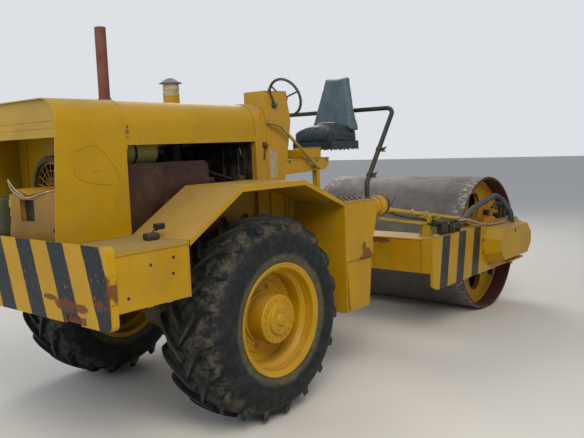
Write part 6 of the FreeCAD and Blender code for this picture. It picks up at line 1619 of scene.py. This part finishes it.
class ROLLER_OT_pipes(bpy.types.Operator):
    """Lead the pipes and hoses over the right arm to the drum's motor"""

    bl_idname = "roller.pipes"
    bl_label = "Pipes and hoses"

    def execute(self, context):
        upper = hose("upper_pipe", [at(1.952, -0.866, 1.343), at(2.920, -1.113, 1.160)], 0.022, False, 7)
        collars = [hose("pipe_collar", [at(x, -0.866 - 0.2552 * (x - 1.952), 1.343 - 0.189 * (x - 1.952)),
                                        at(x + 0.03, -0.866 - 0.2552 * (x - 1.922), 1.343 - 0.189 * (x - 1.922))], 0.027, False, 6)
                   for x in (1.960, 2.600)]
        lower = hose("lower_pipe", [at(1.952, -0.775, 1.250), at(2.640, -1.128, 1.114)], 0.016, False, 6)
        post = plate("post", "Y", -1.066, -0.988, [(2.400, 1.030), (2.500, 1.030), (2.480, 1.200), (2.474, 1.243), (2.428, 1.243),
                                                   (2.424, 1.200)], 0.004)
        foot = case("post_foot", (2.370, 2.530), (-1.068, -0.960), (1.030, 1.040), 0.003)
        knee = plate("post_knee", "X", 2.440, 2.452, [(-0.988, 1.040), (-0.930, 1.040), (-0.988, 1.180)], 0.002)
        saddle = hose("saddle", [at(2.430, -0.989, 1.2530), at(2.474, -1.000, 1.2450)], 0.030, False, 6)
        body = case("valve_body", (2.660, 2.890), (-1.176, -1.094), (1.036, 1.128), 0.006)
        way = at(2.920, -1.113, 1.160) - at(1.952, -0.866, 1.343)
        aside, over = way.cross(AXES["Z"]).normalized() * 0.034, AXES["Z"] * 0.034
        coil = [at(1.952, -0.866, 1.343) + way * (0.30 + 0.030 * n) + aside * math.cos(n * 0.9) + over * math.sin(n * 0.9)
                for n in range(15)]
        rack = join("pipes_and_valves", upper, lower, post, foot, knee, saddle, hose("twisted_pipe", coil, 0.009, True, 4), *collars)
        dress(rack, "yellow_pipe_enamel", "drum_frame", "yellow_paint", "pipe_rack")

        clutter = [body, case("valve_body", (2.505, 2.650), (-1.160, -1.100), (1.045, 1.150), 0.010),
                   bar("valve_spool", at(2.400, -1.120, 1.180), at(2.640, -1.135, 1.150), 0.026, 5)]
        for n, (x, y, r, low, high) in enumerate(((2.690, -1.115, 0.020, 1.128, 1.150), (2.750, -1.150, 0.017, 1.128, 1.156),
                                                  (2.810, -1.115, 0.021, 1.128, 1.149), (2.860, -1.150, 0.015, 1.128, 1.150))):
            clutter.append(lathe("valve_cap", [(low, 0), (low, r), (high - 0.006, r), (high, r * 0.7), (high, 0)], "Z",
                                 at(x, y, 0), 8 if n % 2 else 16, 0.001))
        clutter.append(bar("valve_stem", at(2.620, -1.135, 1.085), at(2.664, -1.135, 1.085), 0.018, 5))
        clutter.append(case("valve_flange", (2.884, 2.900), (-1.172, -1.098), (1.060, 1.150), 0.004))
        clutter += [bar("fitting", at(x, -1.176, z), at(x, -1.202, z), r, 4)
                    for x, z, r in ((2.690, 1.070, 0.013), (2.750, 1.095, 0.011), (2.820, 1.068, 0.014), (2.865, 1.100, 0.010))]
        clutter.append(hose("twisted_lead", [at(2.40, -1.06, 1.165), at(2.50, -1.12, 1.115), at(2.60, -1.15, 1.125),
                                             at(2.68, -1.16, 1.145), at(2.74, -1.12, 1.165), at(2.83, -1.14, 1.150)], 0.009, True, 4))
        clutter.append(hose("dark_lead", [at(1.975, -0.842, 1.325), at(2.10, -0.90, 1.265), at(2.25, -0.955, 1.232),
                                          at(2.38, -1.010, 1.212), at(2.50, -1.060, 1.165), at(2.66, -1.120, 1.120)], 0.010, True, 4))
        clutter.append(hose("stick", [at(1.985, -0.870, 1.352), at(2.045, -0.880, 1.405), at(2.083, -0.885, 1.452)], 0.004, True, 3))
        dress(join("valve_clutter", *clutter), "greasy_fitting_steel", "drum_frame", "bare_steel")
        brass = [lathe("brass_nut", [(0, 0), (0, 0.013), (0.018, 0.013), (0.018, 0)], "X", at(x, y, z), 6, 0.001)
                 for x, y, z in ((2.640, -1.150, 1.140), (2.760, -1.100, 1.158), (2.700, -1.182, 1.100))]
        dress(join("brass_nuts", *brass), "brass_fittings", "drum_frame", "bare_steel")

        shares = ((0, 0, 2.3), (0.07, 0, 2.3), (0.34, 0.5, 6.2), (0.64, 0.6, 8.0), (0.82, 0.6, 9.1), (0.88, -0.8, 7.6),
                  (0.90, -4.0, 2.7), (0.90, -4.0, -1.6))
        line = [at(2.900 + u * 1.230, -1.135 + v * 0.032, 1.035 + w * 0.032) for u, v, w in shares]
        thick = hose("drive_hose", bends(line, 0.160, 8), 0.031, False, 10)
        ends = [hose("ferrule", [at(2.899, -1.135, 1.1086), at(2.965, -1.135, 1.1086)], 0.0345, False, 8),
                hose("ferrule", [at(4.007, -1.263, 1.000), at(4.007, -1.263, 1.060)], 0.0345, False, 8)]
        dress(join("thick_drive_hose", thick, *ends), "hydraulic_hose_rubber", "drum_frame", "hose_rubber", "drive_hose")

        yellow = hose("thin_yellow_hose", [at(2.870, -1.100, 1.165), at(2.930, -1.090, 1.172), at(3.000, -1.110, 1.150),
                                           at(3.080, -1.150, 1.110), at(3.160, -1.180, 1.062), at(3.300, -1.186, 1.0465)], 0.010, True, 5)
        dress(join("thin_yellow_hose", yellow), "yellow_pipe_enamel", "drum_frame", "yellow_paint")
        pale = hose("thin_pale_hose", [at(2.870, -1.160, 1.145), at(3.000, -1.180, 1.150), at(3.120, -1.196, 1.120),
                                       at(3.300, -1.206, 1.072), at(3.430, -1.216, 1.046), at(3.600, -1.230, 1.030),
                                       at(3.760, -1.232, 1.030), at(3.930, -1.226, 1.038), at(4.060, -1.205, 1.062),
                                       at(4.130, -1.190, 1.110), at(4.150, -1.180, 1.160)], 0.0095, True, 5)
        over = hose("thin_pale_hose", [at(3.640, -1.232, 1.031), at(3.900, -1.250, 1.024), at(4.080, -1.270, 1.017),
                                       at(4.220, -1.300, 1.000), at(4.275, -1.330, 0.960), at(4.290, -1.360, 0.900),
                                       at(4.285, -1.380, 0.830)], 0.0065, True, 5)
        dress(join("thin_pale_hoses", pale, over), "pale_hose_rubber", "drum_frame", "hose_rubber")
        rear = [hose("grey_hose", bends([at(x, y, 1.037), at(x, y, top), at(x - 0.060, y + 0.020, top + 0.03),
                                         at(x - 0.180, y + 0.030, top - 0.02)], 0.06), 0.017, False, 5)
                for x, y, top in ((4.190, -1.105, 1.180), (4.090, -1.100, 1.200))]
        dress(join("grey_motor_hoses", *rear), "hydraulic_hose_rubber", "drum_frame", "hose_rubber")
        return {"FINISHED"}


class ROLLER_OT_drum(bpy.types.Operator):
    """Roll the drum, and weld in its heads with their holes, ribs and bearings"""

    bl_idname = "roller.drum"
    bl_label = "Drum"

    def execute(self, context):
        place = at(3.900, 0, 0.770)
        shell = lathe("drum_shell", [(-1.029, 0.7420), (-1.031, 0.7435), (-1.031, 0.7670), (-1.028, 0.770), (1.028, 0.770),
                                     (1.031, 0.7670), (1.031, 0.7435), (1.029, 0.7420), (-1.029, 0.7420)], "Y", place, 160)
        shell.data.materials.append(bpy.data.materials["rolled_drum_steel"])
        shell.data.materials.append(bpy.data.materials["rusted_drum_inside"])
        for face in shell.data.polygons:
            out = (face.center - Vector((place.x, face.center.y, place.z))).length
            face.material_index = 0 if out > 0.7665 else 1
        shell = join("rolled_drum", shell)
        dress(shell, None, "drum", "drum_steel", "drum_shell")

        head = lathe("head", [(-0.851, 0.085), (-0.851, 0.742), (-0.826, 0.742), (-0.826, 0.085), (-0.851, 0.085)], "Y", place, 96)
        for n in range(4):
            turn = math.pi * n / 2
            middle = place + Vector((0.430 * math.cos(turn), 0, 0.430 * math.sin(turn)))
            drill(head, lathe("hole_tool", [(-0.90, 0), (-0.90, 0.150), (-0.78, 0.150), (-0.78, 0)], "Y", middle, 40))
        rims = []
        for n in range(4):
            turn = math.pi * n / 2
            middle = place + Vector((0.430 * math.cos(turn), 0, 0.430 * math.sin(turn)))
            rims.append(lathe("hole_rim", [(-0.858, 0.150), (-0.858, 0.159), (-0.800, 0.159), (-0.800, 0.150), (-0.858, 0.150)],
                              "Y", middle, 40))
        boss = lathe("boss", [(-0.850, 0.200), (-0.871, 0.190), (-0.871, 0.0815), (-0.850, 0.0815)], "Y", place, 56)
        rib = plate("head_rib", "X", 3.894, 3.906, [(-0.850, 0.770 + 0.195), (-0.868, 0.770 + 0.200), (-0.905, 0.770 + 0.330),
                                                    (-0.905, 0.770 + 0.600), (-0.850, 0.770 + 0.738)], 0.002)
        rib.data.transform(Matrix.Translation(place) @ Matrix.Rotation(math.pi / 4, 4, "Y") @ Matrix.Translation(-place))
        ribs = round_about(rib, "Y", place, 4)
        weld = lathe("head_weld", [(-0.8505, 0.732), (-0.8600, 0.742), (-0.8505, 0.742)], "Y", place, 72)
        screws = round_about(bolt("boss_bolt", 0.012, 0.011, place + Vector((0.165, -0.870, 0)), "-Y"), "Y", place, 12)
        smooth(head, 30)
        heads = both_sides(join("drum_heads_welded", head, boss, ribs, weld, screws, *rims))
        dress(heads, "yellow_drum_enamel", "drum", "yellow_paint", "drum_heads")

        carrier = lathe("carrier", [(-1.069, 0), (-1.069, 0.306), (-1.066, 0.310), (-1.044, 0.310), (-1.040, 0.306),
                                    (-1.040, 0.225), (-1.030, 0.210), (-0.980, 0.206), (-0.970, 0.196), (-0.890, 0.200),
                                    (-0.878, 0.204), (-0.876, 0.200), (-0.876, 0.080), (-0.806, 0.080), (-0.806, 0)], "Y",
                        place, 64, 0.001)
        web = plate("carrier_web", "X", 3.894, 3.906, [(-1.040, 0.770 + 0.205), (-0.900, 0.770 + 0.195), (-0.930, 0.770 + 0.215),
                                                       (-1.040, 0.770 + 0.295)], 0.001)
        webs = round_about(web, "Y", place, 8)
        nuts = round_about(bolt("carrier_bolt", 0.014, 0.013, place + Vector((0.285, -1.040, 0.05)), "Y"), "Y", place, 12)
        dress(both_sides(join("bearing_carriers", carrier, webs, nuts)), "yellow_drum_enamel", "drum_frame", "yellow_paint",
              "drum_carriers")
        buffer = lathe("rubber_mount", [(-1.068, 0.0), (-1.068, 0.036), (-1.044, 0.036), (-1.035, 0.030), (-1.022, 0.030),
                                        (-1.015, 0.036), (-1.008, 0.036), (-1.008, 0)], "Y", place + Vector((0.360, 0, 0.06)), 24)
        dress(both_sides(join("rubber_mounts", round_about(buffer, "Y", place, 8))), "black_moulded_plastic", "drum_frame",
              "black_plastic")
        return {"FINISHED"}


class ROLLER_OT_stage(bpy.types.Operator):
    """Lay the floor, hang the lights and set the camera where the photograph was taken"""

    bl_idname = "roller.stage"
    bl_label = "Floor, lights and camera"

    def execute(self, context):
        scene = context.scene
        scene.view_settings.view_transform = "Standard"
        bpy.ops.object.select_all(action="DESELECT")
        bpy.ops.mesh.primitive_plane_add(size=120, location=(0, 0, 0))
        floor = new("studio_floor")
        material = bpy.data.materials.new("pale_floor")
        material.use_nodes = True
        tree = material.node_tree
        shader = tree.nodes["Principled BSDF"]
        shader.inputs["Base Color"].default_value = linear("#D6D4CF")
        shader.inputs["Roughness"].default_value = 0.9
        floor.data.materials.append(material)

        world = bpy.data.worlds.new("studio")
        scene.world = world
        world.use_nodes = True
        tree = world.node_tree
        tree.nodes.clear()
        path = add(tree, "LightPath").node
        seen = sums(tree, "MAXIMUM", path.outputs["Is Camera Ray"], path.outputs["Is Glossy Ray"])
        plain = add(tree, "Background", {"Color": linear("#DDE1E6"), "Strength": 1.0})
        soft = add(tree, "Background", {"Color": linear("#DCE3EC"), "Strength": 0.52})
        mix = add(tree, "MixShader", {0: seen, 1: soft, 2: plain})
        out = add_output(tree, mix)

        for name, place, aim, size, power, colour in (
                ("key", (-5.5, -6.5, 7.5), (0, 0, 1.0), 5.0, 620, "#FFF3E2"),
                ("fill", (-8.0, 3.5, 4.5), (0, 0, 1.2), 6.0, 240, "#E6EEF8"),
                ("back", (6.5, 5.5, 6.5), (0, 0, 1.2), 5.0, 420, "#FFF6EA")):
            bpy.ops.object.select_all(action="DESELECT")
            bpy.ops.object.light_add(type="AREA", location=place)
            lamp = context.object
            lamp.name = name
            lamp.data.size = size
            lamp.data.energy = power
            lamp.data.color = linear(colour)[:3]
            lamp.rotation_euler = (Vector(aim) - Vector(place)).to_track_quat("-Z", "Y").to_euler()

        bpy.ops.object.camera_add(location=(-5.162, -4.280, 1.989))
        camera = context.object
        yaw, pitch, roll = (math.radians(a) for a in (40.04, 6.29, 2.148))
        ahead = Vector((math.cos(yaw) * math.cos(pitch), math.sin(yaw) * math.cos(pitch), -math.sin(pitch)))
        level = Vector((math.sin(yaw), -math.cos(yaw), 0))
        down = ahead.cross(level)
        right = level * math.cos(roll) + down * math.sin(roll)
        up = level * math.sin(roll) - down * math.cos(roll)
        turn = Matrix((right, up, -ahead)).transposed().to_4x4()
        camera.matrix_world = Matrix.Translation((-5.162, -4.280, 1.989)) @ turn
        camera.data.sensor_width = 36
        camera.data.lens = 36 * 669.86 / 584
        camera.data.clip_end = 200
        scene.camera = camera
        return {"FINISHED"}


def add_output(tree, shader):
    out = tree.nodes.new("ShaderNodeOutputWorld")
    tree.links.new(shader, out.inputs[0])
    return out


OPERATORS = [ROLLER_OT_finishes, ROLLER_OT_tyres, ROLLER_OT_rims, ROLLER_OT_tail, ROLLER_OT_fenders, ROLLER_OT_platform,
             ROLLER_OT_hoods, ROLLER_OT_fan, ROLLER_OT_engine, ROLLER_OT_deck_load, ROLLER_OT_controls, ROLLER_OT_seat,
             ROLLER_OT_guard_rail, ROLLER_OT_steering, ROLLER_OT_chassis, ROLLER_OT_drum_frame, ROLLER_OT_pipes,
             ROLLER_OT_drum, ROLLER_OT_stage]


class ROLLER_PT_panel(bpy.types.Panel):
    """Lists what can be made"""

    bl_idname = "ROLLER_PT_panel"
    bl_label = "Road roller"
    bl_space_type = "VIEW_3D"
    bl_region_type = "UI"
    bl_category = "Roller"

    def draw(self, context):
        scene = context.scene
        for group in (scene.roller_paint, scene.roller_wheels):
            box = self.layout.box()
            for key in group.__annotations__:
                box.prop(group, key)
        for operator in OPERATORS:
            self.layout.operator(operator.bl_idname)


CLASSES = [RollerPaint, RollerWheels, *OPERATORS, ROLLER_PT_panel]


def register():
    for cls in CLASSES:
        bpy.utils.register_class(cls)
    bpy.types.Scene.roller_paint = PointerProperty(type=RollerPaint)
    bpy.types.Scene.roller_wheels = PointerProperty(type=RollerWheels)


def unregister():
    del bpy.types.Scene.roller_wheels
    del bpy.types.Scene.roller_paint
    for cls in reversed(CLASSES):
        bpy.utils.unregister_class(cls)


def main():
    register()
    for operator in OPERATORS:
        group, name = operator.bl_idname.split(".")
        getattr(getattr(bpy.ops, group), name)()


if __name__ == "__main__":
    main()
